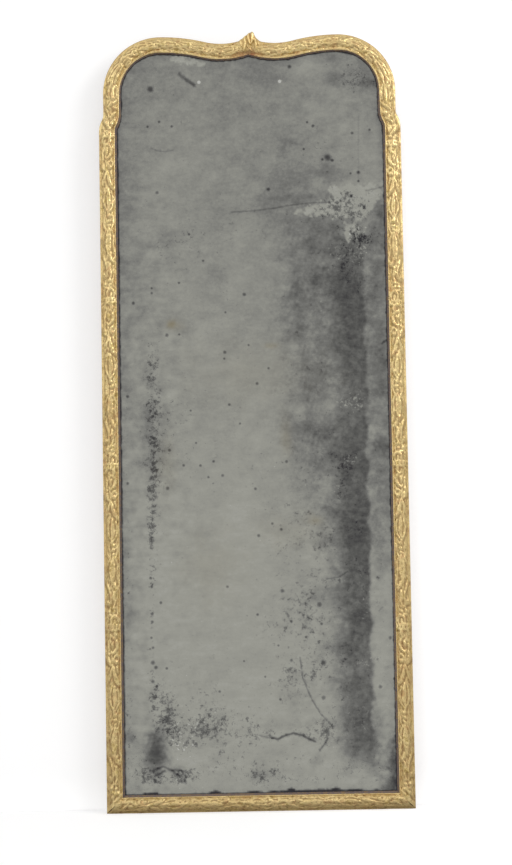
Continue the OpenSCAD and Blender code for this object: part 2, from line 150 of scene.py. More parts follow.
SIDE_LINE = [
    straight((STILE_X, HALF_RAIL), (STILE_X, SHOULDER_LOW), (1.0, 0.0)),
    arc((STILE_X - SHOULDER_R, SHOULDER_LOW), SHOULDER_R, 0.0, SHOULDER_TURN, 1),
    arc((EAR_X + SHOULDER_R, SHOULDER_TOP), SHOULDER_R, math.pi + SHOULDER_TURN, math.pi, -1),
    straight((EAR_X, SHOULDER_TOP), (EAR_X, CORNER[1]), (1.0, 0.0)),
    arc(CORNER, CORNER_R, 0.0, QUARTER, 1),
    arc(HUMP, HUMP_R, QUARTER, QUARTER + HUMP_TURN, 1),
    arc(WAIST, WAIST_R, 3 * QUARTER + HUMP_TURN, 3 * QUARTER - 0.5, -1),
]
FOOT_LINE = [straight((STILE_X, HALF_RAIL), (-STILE_X, HALF_RAIL), (0.0, -1.0))]
STARTS = np.cumsum([0.0] + [part["length"] for part in SIDE_LINE])
STILE_END = STARTS[1]
EAR_END = STARTS[4] + CORNER_R * QUARTER / 2
WAIST_START = STARTS[6]


def along(line, u):
    """Points of a centre line at the distances u along it, and the direction to the outer edge at each."""
    starts = np.cumsum([0.0] + [part["length"] for part in line])
    point = np.zeros(u.shape + (2,))
    normal = np.zeros(u.shape + (2,))
    index = np.clip(np.searchsorted(starts, u, side="right") - 1, 0, len(line) - 1)
    for i, part in enumerate(line):
        here = index == i
        if not here.any():
            continue
        rest = u[here] - starts[i]
        if "radius" in part:
            angle = part["start"] + part["way"] * rest / part["radius"]
            turn = np.stack([np.cos(angle), np.sin(angle)], -1)
            point[here] = np.array(part["centre"]) + part["radius"] * turn
            normal[here] = part["side"] * turn
        else:
            point[here] = part["from"] + rest[:, None] * part["dir"]
            normal[here] = part["normal"]
    return point, normal


def waist_cut(x):
    """How far along the side line the plane at x cuts the waist, for each distance s from the outer edge."""
    def at(s):
        angle = 4 * QUARTER - np.arccos((x - WAIST_X) / (WAIST_R - HALF_RAIL + s))
        return WAIST_START + (3 * QUARTER + HUMP_TURN - angle) * WAIST_R
    return at


# The lip that holds the glass, from the bead down to the plate: (s, t). It is painted black, and its dark
# also stands as painted shade for the shadowed gap at the glass.
LIP = ((32.95, 21.6), (33.15, 20.2), (34.4, 19.7), (36.5, 19.4), (36.5, 18.3), (36.5, 17.0))


def section(ground_drop):
    """The moulding's section: points s and t, the way the carving rises there, and how much of it shows."""
    rows = []

    def add(s, t, lift, take):
        rows.append((s, t, lift[0], lift[1], take))

    for t in (0.0, 5.0, 10.0, 14.2):
        add(0.0, t, (0.0, 1.0), 0.0)
    for i in range(10):
        a = -QUARTER + QUARTER * i / 9
        add(7 * math.cos(a), 22 + 7 * math.sin(a), (-0.45 * math.cos(a), 1.0), (i / 9) ** 0.7)
    add(7.8, 22.05, (-0.3, 1.0), 1.0)
    crown = 7.0 - ground_drop
    radius = (100 + crown ** 2) / (2 * crown)
    half = math.asin(10 / radius)
    for i in range(33):
        a = -half + 2 * half * i / 32
        t = 23.5 + crown - radius * (1 - math.cos(a))
        add(18.5 + radius * math.sin(a), t, (0.8 * math.sin(a), 1.0), 1.0)
    add(28.6, 23.1, (0.2, 1.0), 1.0)
    add(29.3, 23.0, (0.1, 1.0), 1.0)
    for i in range(8):
        a = 2.6 - 1.9 * i / 7
        add(31.4 + 1.9 * math.cos(a), 22.3 + 1.9 * math.sin(a), (0.0, 1.0), 0.9 - 0.1 * i)
    for s, t in LIP:
        add(s, t, (0.0, 1.0), 0.0)
    for s, t in ((27.5, 17.0), (27.5, 7.0), (20.5, 7.0), (20.5, 0.0), (13.5, 0.0), (7.0, 0.0)):
        add(s, t, (0.0, 1.0), 0.0)
    rows = np.array(rows)
    lift = rows[:, 2:4] / np.linalg.norm(rows[:, 2:4], axis=1)[:, None]
    return rows[:, 0], rows[:, 1], lift, rows[:, 4]


def smooth_path(points, per_span=5):
    """A smooth curve through points, and the share of the way along it at each new point."""
    p = np.array(points, float)
    if len(p) < 3:
        k = np.linspace(0, 1, per_span + 1)[:, None]
        return p[0] * (1 - k) + p[-1] * k, k[:, 0] * (len(p) - 1)
    ends = np.vstack([2 * p[0] - p[1], p, 2 * p[-1] - p[-2]])
    out, marks = [], []
    for i in range(len(p) - 1):
        a, b, c, d = ends[i:i + 4]
        for k in np.arange(per_span) / per_span:
            out.append(0.5 * (2 * b + (c - a) * k + (2 * a - 5 * b + 4 * c - d) * k ** 2
                              + (3 * b - a - 3 * c + d) * k ** 3))
            marks.append(i + k)
    out.append(p[-1])
    marks.append(len(p) - 1.0)
    return np.array(out), np.array(marks)


# The distance from one vein of a leaf to the next.
VEIN_PITCH = 3.2


class Relief:
    """The height of the carving over the ground, at points s across the moulding and u along it."""

    def __init__(self, s, u):
        self.s, self.u = s.ravel(), u.ravel()
        self.h = np.zeros(self.s.shape)

    def raise_to(self, here, height):
        self.h[here] = np.maximum(self.h[here], height)

    def bead(self, s, u, r, high, dent=0.0):
        here = np.nonzero((abs(self.u - u) < r) & (abs(self.s - s) < r))[0]
        d = np.hypot(self.s[here] - s, self.u[here] - u) / r
        dome = high * np.sqrt(np.clip(1 - d ** 2, 0, 1)) - dent * np.exp(-(d / 0.3) ** 2) * (d < 1)
        self.raise_to(here, dome)

    def stroke(self, points, widths, high, groove=0.0, veins=0.0):
        """A stem, leaf or scroll: a dome along a path, with the half-width given at each of its points."""
        line, marks = smooth_path(points)
        wide = np.interp(marks, np.arange(len(widths)), widths)
        reach = max(widths) + 0.5
        here = np.nonzero((self.u > line[:, 1].min() - reach) & (self.u < line[:, 1].max() + reach)
                          & (self.s > line[:, 0].min() - reach) & (self.s < line[:, 0].max() + reach))[0]
        if not len(here):
            return
        p = np.stack([self.s[here], self.u[here]], 1)
        best = np.full(len(here), 1e9)
        side = np.zeros(len(here))
        run = np.zeros(len(here))
        lengths = np.concatenate([[0], np.cumsum(np.linalg.norm(np.diff(line, axis=0), axis=1))])
        for i in range(len(line) - 1):
            a, ab = line[i], line[i + 1] - line[i]
            size = max(float(ab @ ab), 1e-9)
            k = np.clip((p - a) @ ab / size, 0, 1)
            off = p - a - k[:, None] * ab
            w = wide[i] + (wide[i + 1] - wide[i]) * k
            d = np.linalg.norm(off, axis=1) / w
            nearer = d < best
            best[nearer] = d[nearer]
            side[nearer] = (np.sign(ab[0] * off[:, 1] - ab[1] * off[:, 0]) * d)[nearer]
            run[nearer] = (lengths[i] + k * (lengths[i + 1] - lengths[i]))[nearer]
        dome = np.clip(1 - best ** 2, 0, 1) ** 0.6
        cut = groove * np.exp(-(side / 0.2) ** 2)
        if veins:
            wave = 0.5 + 0.5 * np.cos(2 * math.pi * (run - 2.2 * abs(side)) / VEIN_PITCH)
            cut = cut + veins * wave * (best < 1) * abs(side)
        self.raise_to(here, high * dome - cut * (best < 1))


# One repeat of the carving, for a rail on the right. A stroke is a path of (s, m), half-widths and height,
# and the depth of its groove and veins if it has them. A bead is its s, m, radius and height, and the depth
# of its dent if it has one. s is the distance from the outer edge, and m the distance down from the clasp.
REPEAT_LENGTH = 338.5
REPEAT = [
    ([(5, -3.6), (18, -4.8), (31, -3.2)], [1.4, 2.0, 1.4], 0.95),
    ([(5, 3.8), (18, 5.0), (31, 3.6)], [1.4, 2.0, 1.4], 1.0),
    ([(22, 8), (22.8, 13), (22, 19)], [1.8, 3.2, 1.4], 0.95, 0.3),
    ([(11, 8), (8.5, 14), (9, 19)], [1.6, 2.4, 1.2], 0.8),
    ([(18, 19), (22.5, 23.5), (25.2, 32), (23.5, 42), (17.5, 49.5), (14.5, 46)],
     [1.0, 1.7, 2.4, 2.3, 1.7, 1.1], 0.95, 0.5),
    ([(19, 28), (16.5, 34), (17, 40)], [1.2, 2.4, 1.0], 0.8),
    ([(7.5, 20), (9.5, 34), (10.2, 47)], [1.0, 2.0, 1.4], 0.75),
    ([(8.2, 57), (9.6, 64.5), (13, 72)], [3.0, 4.8, 2.2], 1.15),
    ([(19.8, 63), (20.2, 56.5), (24, 53.5), (27.2, 57), (26.6, 64)], [1.0, 1.2, 1.3, 1.2, 0.9], 0.65),
    ([(15.5, 54), (17, 62), (16.8, 73)], [1.0, 1.3, 1.0], 0.7),
    ([(16.8, 75), (13, 88), (8.8, 100), (6.2, 110), (4.8, 115), (7.2, 117.5)],
     [1.2, 2.6, 3.1, 2.8, 2.2, 1.2], 1.05, 0.8, 0.35),
    ([(18, 75), (20, 88), (22.5, 99), (25, 106), (28.6, 110.8), (30.8, 107)],
     [1.2, 2.6, 3.1, 2.9, 2.4, 1.2], 1.1, 0.8, 0.35),
    ([(10.5, 77), (8, 86)], [1.3, 1.7], 0.7),
    ([(24, 76), (26, 86)], [1.3, 1.7], 0.7),
    ([(19.2, 111), (19.4, 124), (20.3, 140), (19, 153)], [1.2, 3.0, 3.5, 1.3], 1.0, 0.7, 0.25),
    ([(24.2, 117), (27.2, 130), (25.8, 146), (20.6, 158)], [0.9, 2.0, 2.0, 1.2], 0.85, 0.2),
    ([(14, 119), (11, 132), (13.2, 147), (18.2, 158)], [0.9, 2.0, 2.0, 1.2], 0.8, 0.2),
    ([(12.5, 168), (9.4, 180), (12, 193)], [0.9, 1.3, 0.9], 0.5),
    ([(28, 167), (27.2, 181), (25, 191)], [0.9, 1.3, 0.9], 0.5),
    ([(20, 191), (19, 205), (18.2, 225), (17.6, 248)], [1.3, 4.4, 5.6, 1.6], 0.9, 0.8, 0.55),
    ([(23, 192), (27, 207), (26.3, 222), (28, 240), (29.6, 250), (26.8, 253.5)],
     [1.0, 1.8, 1.7, 1.8, 2.6, 1.2], 0.95, 0.2),
    ([(15, 195), (8.4, 212), (6.6, 232), (8, 245), (11.5, 257), (15.5, 271)],
     [1.0, 1.8, 1.7, 1.8, 2.1, 1.2], 0.85, 0.2),
    ([(21.5, 246), (23, 254), (26.2, 261), (27.4, 256.5)], [1.3, 2.5, 2.2, 1.0], 0.95, 0.2),
    ([(15, 271), (15.8, 280), (13.2, 290), (8.2, 291.8), (5.9, 286), (8.2, 281.5)],
     [1.3, 1.9, 2.0, 1.8, 1.4, 1.0], 0.85),
    ([(21.6, 264), (20.4, 276), (22.4, 286), (20.2, 295)], [1.5, 2.9, 1.9, 1.0], 0.95, 0.4),
    ([(9, 299), (8, 306), (12, 313), (19.5, 312)], [1.0, 1.7, 1.6, 1.0], 0.75),
    ([(15.6, 331), (15.9, 321.5), (21.5, 315), (26.9, 320.5), (26.6, 331)],
     [1.5, 2.0, 2.5, 2.0, 1.5], 1.0, 0.4),
    ([(21.2, 323), (21.2, 330)], [1.8, 2.4], 0.6),
    ([(9.6, 316), (8, 329)], [1.4, 2.2], 0.75),
]
REPEAT_BEADS = [
    (8.5, 0, 2.4, 1.05), (13.6, 0, 2.2, 0.95), (18.6, 0, 2.4, 1.05), (23.6, 0, 2.2, 0.95),
    (28.4, 0, 2.3, 1.05), (10.3, 51.5, 2.4, 1.0), (23.3, 66, 3.2, 1.0, 0.4), (19.2, 161, 2.1, 0.9),
    (20.2, 167, 3.1, 1.05), (20.4, 177, 2.8, 1.0), (20.3, 185.6, 2.1, 0.9), (10, 286, 2.5, 1.05),
    (20.2, 297.5, 2.7, 1.05, 0.3), (12.2, 306, 2.9, 1.0), (20.4, 306.5, 2.5, 0.9),
]
# The ear, from the shoulder's clasp up to the corner's: paths of (s, m) with m counted upwards.
EAR_LENGTH = 172.0
EAR = [
    ([(21.5, 15), (15, 23), (9, 30), (4.6, 36)], [1.4, 3.4, 3.8, 1.6], 1.1, 0.5, 0.3),
    ([(24, 19), (23.6, 27), (25.5, 36)], [1.6, 3.2, 1.5], 1.05, 0.5, 0.2),
    ([(29.6, 19), (30, 27), (28, 33)], [1.0, 1.8, 1.0], 0.7),
    ([(14.6, 37), (12.5, 48), (8.4, 59), (6.4, 76), (8.5, 86)], [1.2, 1.9, 1.8, 1.7, 1.0], 0.85, 0.2),
    ([(30.5, 79), (25, 73), (17.5, 67), (12.6, 61.5), (15, 57)], [1.3, 2.1, 2.2, 1.8, 1.0], 0.95, 0.4),
    ([(26, 50), (21, 44), (18, 38)], [1.2, 2.3, 1.3], 0.9, 0.3),
    ([(21, 78), (21.4, 88), (21, 100)], [1.4, 2.6, 1.4], 0.9, 0.4),
    ([(7, 92), (11.5, 82)], [1.8, 1.2], 0.75),
    ([(15, 80), (13.5, 94), (15.6, 104)], [1.0, 1.9, 1.1], 0.75),
    ([(27.6, 84), (28.4, 98), (26, 110)], [1.0, 1.7, 1.1], 0.7),
    ([(11, 112), (10, 128), (12.6, 144), (16, 156)], [1.4, 2.4, 2.4, 1.2], 0.9, 0.3),
    ([(17.4, 110), (17, 128), (18.6, 144), (20, 157)], [1.4, 2.6, 2.4, 1.2], 0.95, 0.4),
    ([(23.6, 112), (24, 128), (24.4, 144), (23.6, 157)], [1.2, 2.2, 2.2, 1.2], 0.85, 0.2),
    ([(6.4, 122), (5.6, 138), (8, 152)], [1.0, 1.6, 1.0], 0.65),
    ([(15, 163), (15.4, 172), (17.6, 181)], [2.4, 3.4, 2.4], 1.15, 0.3),
    ([(20.6, 166), (21, 173), (21.6, 180)], [1.4, 2.0, 1.4], 0.8),
    ([(27.4, 164), (27, 172), (25.8, 180)], [2.3, 3.3, 2.3], 1.15, 0.3),
]
EAR_BEADS = [
    (23, 12, 2.6, 1.0), (11, 12, 2.4, 0.95), (24, 59, 3.3, 1.05), (14.6, 117.5, 2.9, 1.05),
    (15.6, 126, 2.6, 1.0), (9, 172, 2.2, 0.8),
]
# The top, from the corner's clasp to the centre leaf, in lower relief.
TOP = [
    ([(21.6, 17.5), (26.4, 22.5), (21.8, 28), (17, 23), (20.6, 18)], [1.5, 1.6, 1.6, 1.6, 1.5], 0.85),
    ([(29.4, 27), (26.8, 33), (27, 39), (30, 44)], [1.2, 2.6, 2.6, 1.2], 1.0, 0.3),
    ([(13, 24), (11, 34), (13, 45)], [1.4, 2.2, 1.3], 0.75, 0.2),
    ([(20, 32), (21, 44), (24.6, 56), (23, 66)], [1.2, 2.2, 2.2, 1.2], 0.8, 0.3),
    ([(31, 50), (29, 62), (30, 76), (28, 84)], [1.0, 1.9, 1.9, 1.0], 0.75),
    ([(9.6, 50), (12, 60), (17, 66)], [1.2, 1.9, 1.3], 0.75),
    ([(17, 72), (20.4, 84), (22, 98), (20, 106)], [1.2, 2.8, 3.0, 1.2], 0.9, 0.5, 0.35),
    ([(12.6, 78), (10.4, 92), (14.6, 106), (16, 112)], [1.0, 2.0, 2.2, 1.1], 0.8, 0.2),
    ([(29, 90), (27.4, 104), (29.8, 116)], [1.0, 1.8, 1.0], 0.7),
    ([(18, 116), (24.6, 122), (28, 131), (26, 142), (20, 144)], [1.2, 2.0, 2.2, 1.9, 1.1], 0.85, 0.3),
    ([(8.4, 118), (11.4, 130), (11.6, 142), (8, 150)], [1.2, 2.6, 2.6, 1.2], 0.85, 0.4, 0.3),
    ([(17, 126), (18.4, 134), (15.6, 142)], [1.2, 2.2, 1.2], 0.8),
    ([(31.4, 138), (30.4, 150), (27, 160)], [1.4, 2.0, 1.1], 0.75),
    ([(9, 154), (9.6, 166), (14.4, 176)], [1.3, 2.4, 1.2], 0.85, 0.3),
    ([(18.6, 152), (16.6, 164), (20, 170), (24.4, 178), (22, 188), (16.4, 186)],
     [1.0, 1.8, 2.2, 2.4, 1.9, 1.1], 0.9, 0.3),
    ([(30.6, 168), (29, 182), (30.2, 194)], [1.0, 1.8, 1.2], 0.75),
    ([(10.4, 182), (8.6, 196), (12.6, 208)], [1.2, 2.2, 1.2], 0.75, 0.2),
    ([(17.4, 194), (20.4, 206), (17.4, 218), (19, 230)], [1.2, 2.8, 2.6, 1.2], 0.9, 0.5, 0.3),
    ([(26.4, 206), (27.4, 218), (25, 232)], [1.2, 2.2, 1.2], 0.8, 0.2),
    ([(9.6, 214), (11.6, 226), (9.4, 240)], [1.2, 2.0, 1.2], 0.7),
]
TOP_BEADS = [
    (33.4, 44, 2.2, 0.7), (18.2, 66, 2.4, 0.95), (25, 199, 2.6, 1.0), (29.4, 190, 2.0, 0.85),
    (24.4, 222, 2.3, 0.95),
]
# The mitred leaf in each lower corner, on coordinates measured along the two outer edges.
CORNER_LEAF = [
    ([(6, 6), (14, 14), (24, 24), (32.5, 32.5)], [2.4, 3.6, 3.4, 1.6], 1.1, 0.7),
    ([(9, 15), (18, 25), (27, 36), (31.5, 43)], [1.4, 2.6, 2.6, 1.4], 0.95, 0.4),
    ([(7, 23), (13, 34), (21, 44)], [1.4, 2.2, 1.2], 0.8, 0.2),
]


# The drawings are spread a little across the moulding about this line, and drawn this much bolder.
DRAWN_MIDDLE = 18.0
DRAWN_SPREAD = 1.17
BOLDER = 1.4


def carve(relief, height, start, way, scale, strokes, beads, share=1.0):
    """Lays one list of strokes and beads on the relief, from a place along the rail."""
    def across(s):
        return DRAWN_MIDDLE + DRAWN_SPREAD * (s - 18.2)

    for points, widths, high, *cuts in strokes:
        path = [(across(s), start + way * m * scale) for s, m in points]
        wide = [BOLDER * w for w in widths]
        relief.stroke(path, wide, high * height * share, *[cut * share for cut in cuts])
    for s, m, r, high, *dent in beads:
        high_there = high * height * share
        relief.bead(across(s), start + way * m * scale, BOLDER * r, high_there, *[d * share for d in dent])


def rolling(shape, seed, rough):
    """Slow uneven swells, as a hand-laid ground has: random values on a coarse net, made smooth between."""
    rng = np.random.default_rng(seed)
    rows, cols = shape
    net = rng.normal(size=(rows // rough + 3, cols // rough + 3))
    r = np.linspace(0, net.shape[0] - 1.001, rows)
    c = np.linspace(0, net.shape[1] - 1.001, cols)
    r0, c0 = r.astype(int), c.astype(int)
    fr, fc = (r - r0)[:, None], (c - c0)[None, :]
    fr, fc = fr * fr * (3 - 2 * fr), fc * fc * (3 - 2 * fc)
    a, b = net[r0][:, c0], net[r0][:, c0 + 1]
    d, e = net[r0 + 1][:, c0], net[r0 + 1][:, c0 + 1]
    return (a * (1 - fc) + b * fc) * (1 - fr) + (d * (1 - fc) + e * fc) * fr


def box_blur(h, rows, cols):
    for axis, reach in ((0, rows), (1, cols)):
        pad = [(0, 0), (0, 0)]
        pad[axis] = (reach, reach)
        wide = np.cumsum(np.pad(h, pad, mode="edge"), axis=axis)
        n = h.shape[axis]
        high = np.take(wide, range(2 * reach, 2 * reach + n), axis=axis)
        low = np.take(wide, range(0, n), axis=axis)
        h = (high - low) / (2 * reach)
    return h


def new_object(name, verts, faces, attributes=(), zones=None):
    """A mesh object of points in metres, with its faces turned outwards, and numbers kept on its points."""
    mesh = bpy.data.meshes.new(name)
    mesh.from_pydata(verts.tolist(), [], faces)
    mesh.validate()
    if signed_volume(mesh) < 0:
        mesh.flip_normals()
    for key, values in attributes:
        layer = mesh.attributes.new(key, "FLOAT", "POINT")
        layer.data.foreach_set("value", np.asarray(values, np.float32).ravel())
    if zones is not None:
        mesh.polygons.foreach_set("material_index", np.asarray(zones, np.int32))
    mesh.polygons.foreach_set("use_smooth", [True] * len(mesh.polygons))
    mesh.set_sharp_from_angle(angle=math.radians(58))
    mesh.update()
    obj = bpy.data.objects.new(name, mesh)
    bpy.context.scene.collection.objects.link(obj)
    return obj


def signed_volume(mesh):
    mesh.calc_loop_triangles()
    tris = np.zeros(len(mesh.loop_triangles) * 3, np.int32)
    mesh.loop_triangles.foreach_get("vertices", tris)
    co = np.zeros(len(mesh.vertices) * 3)
    mesh.vertices.foreach_get("co", co)
    p = co.reshape(-1, 3)[tris.reshape(-1, 3)]
    return float(np.einsum("ij,ij->", p[:, 0], np.cross(p[:, 1], p[:, 2])))


# The finish of each part of a rail, in the order that gilt_set lists them.
GILT, WASHED, BARE, BLACK_AND_SHADED = range(4)
# The washed side ends this far in front of the back, and the last points of the section are bare wood.
WASH_HEIGHT = 13.9
BARE_POINTS = 7
# The top of the frame, above this height, is worn in the middle and darkened along its outer edge.
WORN_AND_DARK_EDGED_FROM = 1500


def rail_faces(s0, t0, rows):
    """The faces of a rail, one row after another with a cap at each end, and the finish of each."""
    n = len(s0)
    row = np.arange(rows)[:, None] * n
    here = np.arange(n)[None, :]
    there = (here + 1) % n
    quads = np.stack([row + here, row + there, row + n + there, row + n + here], -1).reshape(-1, 4).tolist()
    caps = [list(range(n)), list(range(rows * n, rows * n + n))]
    # The section ends with the lip and then the bare wood, so these are counted from its end.
    zone = np.where((t0 < WASH_HEIGHT) & (s0 < 0.5), WASHED, GILT)
    zone[-BARE_POINTS:] = BARE
    # The lip is black paint, and also stands as painted shade for the gap at the glass.
    zone[-BARE_POINTS - len(LIP):-BARE_POINTS] = BLACK_AND_SHADED
    return quads + caps, np.concatenate([np.tile(zone, rows), [BARE, BARE]])


def sweep(name, line, u_start, u_end, mirrored, lay, seed, swell=1.0):
    """One carved rail: the section drawn along a line between two ends, with the carving laid on it."""
    carving = bpy.context.scene.mirror_carving
    s0, t0, lift, take = section(carving.ground_drop * 1000)
    first, last = u_start(s0), u_end(s0)
    rows = max(8, int((last.mean() - first.mean()) / (carving.step * 1000)))
    share = np.linspace(0, 1, rows + 1)[:, None]
    u = first[None, :] + (last - first)[None, :] * share
    # Along the top the gold comes closer to the glass, and the lip is narrower.
    bead = np.interp(s0, (29.3, 31.4, 33.2, 36.5), (0, 1, 1, 0)) * ((s0 < 36.4) & (t0 > 19))
    s = s0 + 1.9 * np.clip((u - STARTS[3]) / 90, 0, 1) * bead
    relief = Relief(s, u)
    lay(relief, carving.relief * 1000)
    # The gesso laid over the wood softens the cutting and leaves the ground uneven.
    h = box_blur(relief.h.reshape(u.shape), 2, 2)
    h = h + swell * (0.30 * rolling(u.shape, seed, 4) + 0.24 * rolling(u.shape, seed + 1, 9))
    h = np.clip(h, -0.5, 3.1) * take
    # hollow marks the recesses, where the gilding is darkened with dirt and painted shade.
    hollow = np.clip((box_blur(h, 4, 5) - h - 0.05) / 0.5, 0, 1)
    s_new = np.clip(s + h * lift[:, 0], 0.0, RAIL_WIDTH)
    t_new = np.broadcast_to(t0, u.shape) + h * lift[:, 1]
    point, normal = along(line, u)
    place = point + (HALF_RAIL - s_new)[..., None] * normal
    x = -place[..., 0] if mirrored else place[..., 0]
    verts = np.stack([x, -t_new, place[..., 1]], -1).reshape(-1, 3) / 1000
    faces, zones = rail_faces(s0, t0, rows)
    high_up = place[..., 1] > WORN_AND_DARK_EDGED_FROM
    rise = np.clip(h / (carving.relief * 1000), 0, 1)
    worn = np.exp(-(place[..., 0] / 34) ** 2) * np.clip((s - 23) / 8, 0, 1) * high_up
    # Along the top, the outer edge is darkened in the same way as the hollows.
    hollow = np.maximum(hollow, 0.8 * np.exp(-(s / 3) ** 2) * high_up)
    return new_object(name, verts, faces, (("rise", rise), ("hollow", hollow), ("worn", worn)), zones)


# ---------------------------------------------------------------- marks on the old plate, in millimetres
# Darker clouds in the silvering: x from the middle, z over the foot, half-width, half-height, depth.
CLOUDS = [
    (122, 1085, 40, 46, 0.17), (128, 715, 36, 36, 0.15), (122, 640, 34, 40, 0.09),
    (110, 620, 62, 100, 0.09), (120, 440, 60, 80, 0.10), (150, 300, 46, 60, 0.12), (256, 790, 24, 70, 0.14),
    (256, 630, 24, 60, 0.16), (256, 500, 22, 50, 0.12), (95, 960, 50, 60, 0.10), (90, 840, 45, 60, 0.12),
    (100, 740, 50, 60, 0.14), (100, 1190, 60, 40, 0.12), (100, 1090, 50, 60, 0.12),
    (20, 1500, 80, 34, 0.17), (-5, 1440, 60, 30, 0.06), (-215, 1500, 50, 60, 0.06),
    (-120, 1440, 70, 26, 0.05), (170, 1528, 22, 12, 0.24), (172, 1487, 22, 18, 0.26),
    (232, 1500, 34, 28, 0.10), (112, 1512, 40, 18, -0.14), (-165, 1512, 40, 16, 0.10),
    (60, 1508, 26, 10, -0.06), (243, 1478, 24, 8, 0.42), (54, 1432, 18, 13, 0.09),
    (100, 1425, 12, 10, 0.07), (45, 1375, 75, 40, 0.09), (88, 1356, 24, 9, 0.16), (80, 1280, 95, 45, 0.20),
    (153, 1288, 26, 16, 0.18), (60, 1240, 60, 16, 0.16), (120, 1243, 42, 10, 0.22),
    (-30, 1330, 26, 22, 0.08), (-165, 1345, 50, 10, 0.06), (-260, 1255, 20, 60, 0.15),
    (-180, 1162, 26, 24, 0.12), (-68, 1085, 20, 22, 0.12), (-250, 1080, 22, 60, 0.06),
    (-130, 1230, 60, 30, 0.05), (30, 1120, 60, 40, 0.06), (130, 1160, 50, 34, 0.32),
    (200, 1150, 50, 36, 0.24), (252, 1160, 18, 60, 0.28), (255, 1030, 30, 80, 0.22),
    (165, 1060, 55, 50, 0.44), (200, 1000, 42, 80, 0.24), (105, 1000, 40, 40, 0.14),
    (150, 940, 46, 34, 0.20), (98, 955, 14, 14, 0.18), (128, 858, 34, 42, 0.24), (104, 890, 40, 40, 0.10),
    (110, 770, 48, 26, 0.20), (152, 742, 44, 22, 0.28), (165, 690, 40, 26, 0.22), (150, 600, 24, 18, 0.34),
    (190, 560, 34, 40, 0.26), (255, 735, 16, 12, 0.28), (262, 880, 16, 60, 0.10), (160, 520, 30, 40, 0.14),
    (155, 430, 34, 22, 0.20), (120, 900, 34, 60, 0.14), (135, 800, 30, 60, 0.12), (140, 690, 30, 60, 0.14),
    (150, 570, 30, 70, 0.12), (250, 1010, 34, 120, 0.10), (252, 860, 30, 90, 0.32),
    (252, 700, 30, 70, 0.30), (250, 560, 30, 80, 0.20), (60, 1010, 30, 60, 0.07), (45, 1215, 64, 30, 0.13),
    (176, 1186, 44, 22, 0.20), (264, 1208, 12, 22, 0.46), (232, 1108, 26, 28, 0.14),
    (104, 1012, 46, 34, 0.15), (126, 470, 20, 40, -0.05), (236, 160, 18, 60, 0.13), (228, 84, 26, 30, 0.10),
    (250, 400, 30, 60, 0.03), (252, 300, 30, 60, 0.02), (165, 318, 30, 26, 0.20), (150, 250, 30, 20, 0.14),
    (200, 150, 42, 40, 0.20), (235, 120, 34, 30, 0.12), (269, 86, 13, 44, 0.95), (266, 50, 22, 15, 0.50),
    (-209, 120, 21, 40, 1.15), (-180, 84, 26, 12, 0.26), (-262, 152, 14, 10, 0.24),
    (-190, 190, 40, 44, 0.05), (-150, 150, 44, 24, 0.07), (-105, 165, 34, 26, 0.09), (-2, 72, 28, 14, 0.22),
    (112, 96, 20, 10, 0.18), (-262, 560, 12, 200, 0.07), (-262, 860, 14, 60, 0.12),
    (-255, 395, 14, 40, 0.08), (-262, 230, 10, 60, 0.03), (-202, 740, 34, 120, 0.20),
    (-215, 800, 16, 80, 0.10), (-150, 985, 40, 26, 0.08), (-70, 790, 50, 26, 0.07), (30, 700, 60, 26, 0.03),
    (62, 380, 30, 22, 0.08), (-40, 700, 50, 30, 0.03), (120, 170, 50, 26, 0.07), (40, 170, 60, 12, 0.08),
    (-225, 1395, 30, 16, 0.05), (-190, 1120, 60, 40, 0.04), (60, 240, 30, 30, 0.08),
    (205, 380, 26, 40, 0.16),
]
# The dark streak down the right: z, depth at that height. It ends sharply at its right-hand edge.
STREAK_RIGHT = 223
DARKEST = 0.90
STREAK = [
    (1180, 0.08), (1110, 0.40), (1000, 0.52), (900, 0.60), (820, 0.52), (720, 0.72), (600, 0.78),
    (520, 0.78), (440, 0.74), (340, 0.66), (290, 0.50), (240, 0.66), (180, 0.68), (120, 0.50), (80, 0.08),
]
# Pale flaked places: outlines in x and z, and how pale.
FLAKES = [
    ([(94, 1213), (108, 1222), (134, 1230), (157, 1232), (166, 1244), (158, 1262), (196, 1268), (230, 1264),
      (270, 1270), (264, 1240), (250, 1224), (240, 1204), (226, 1190), (204, 1197), (186, 1206),
      (170, 1199), (150, 1206), (122, 1204)], 0.06),
    ([(190, 1186), (222, 1180), (216, 1168), (204, 1164), (198, 1150), (190, 1164)], 0.02),
    ([(-168, 1540), (-142, 1540), (-104, 1531), (-88, 1523), (-120, 1522), (-150, 1526)], 0.12),
]
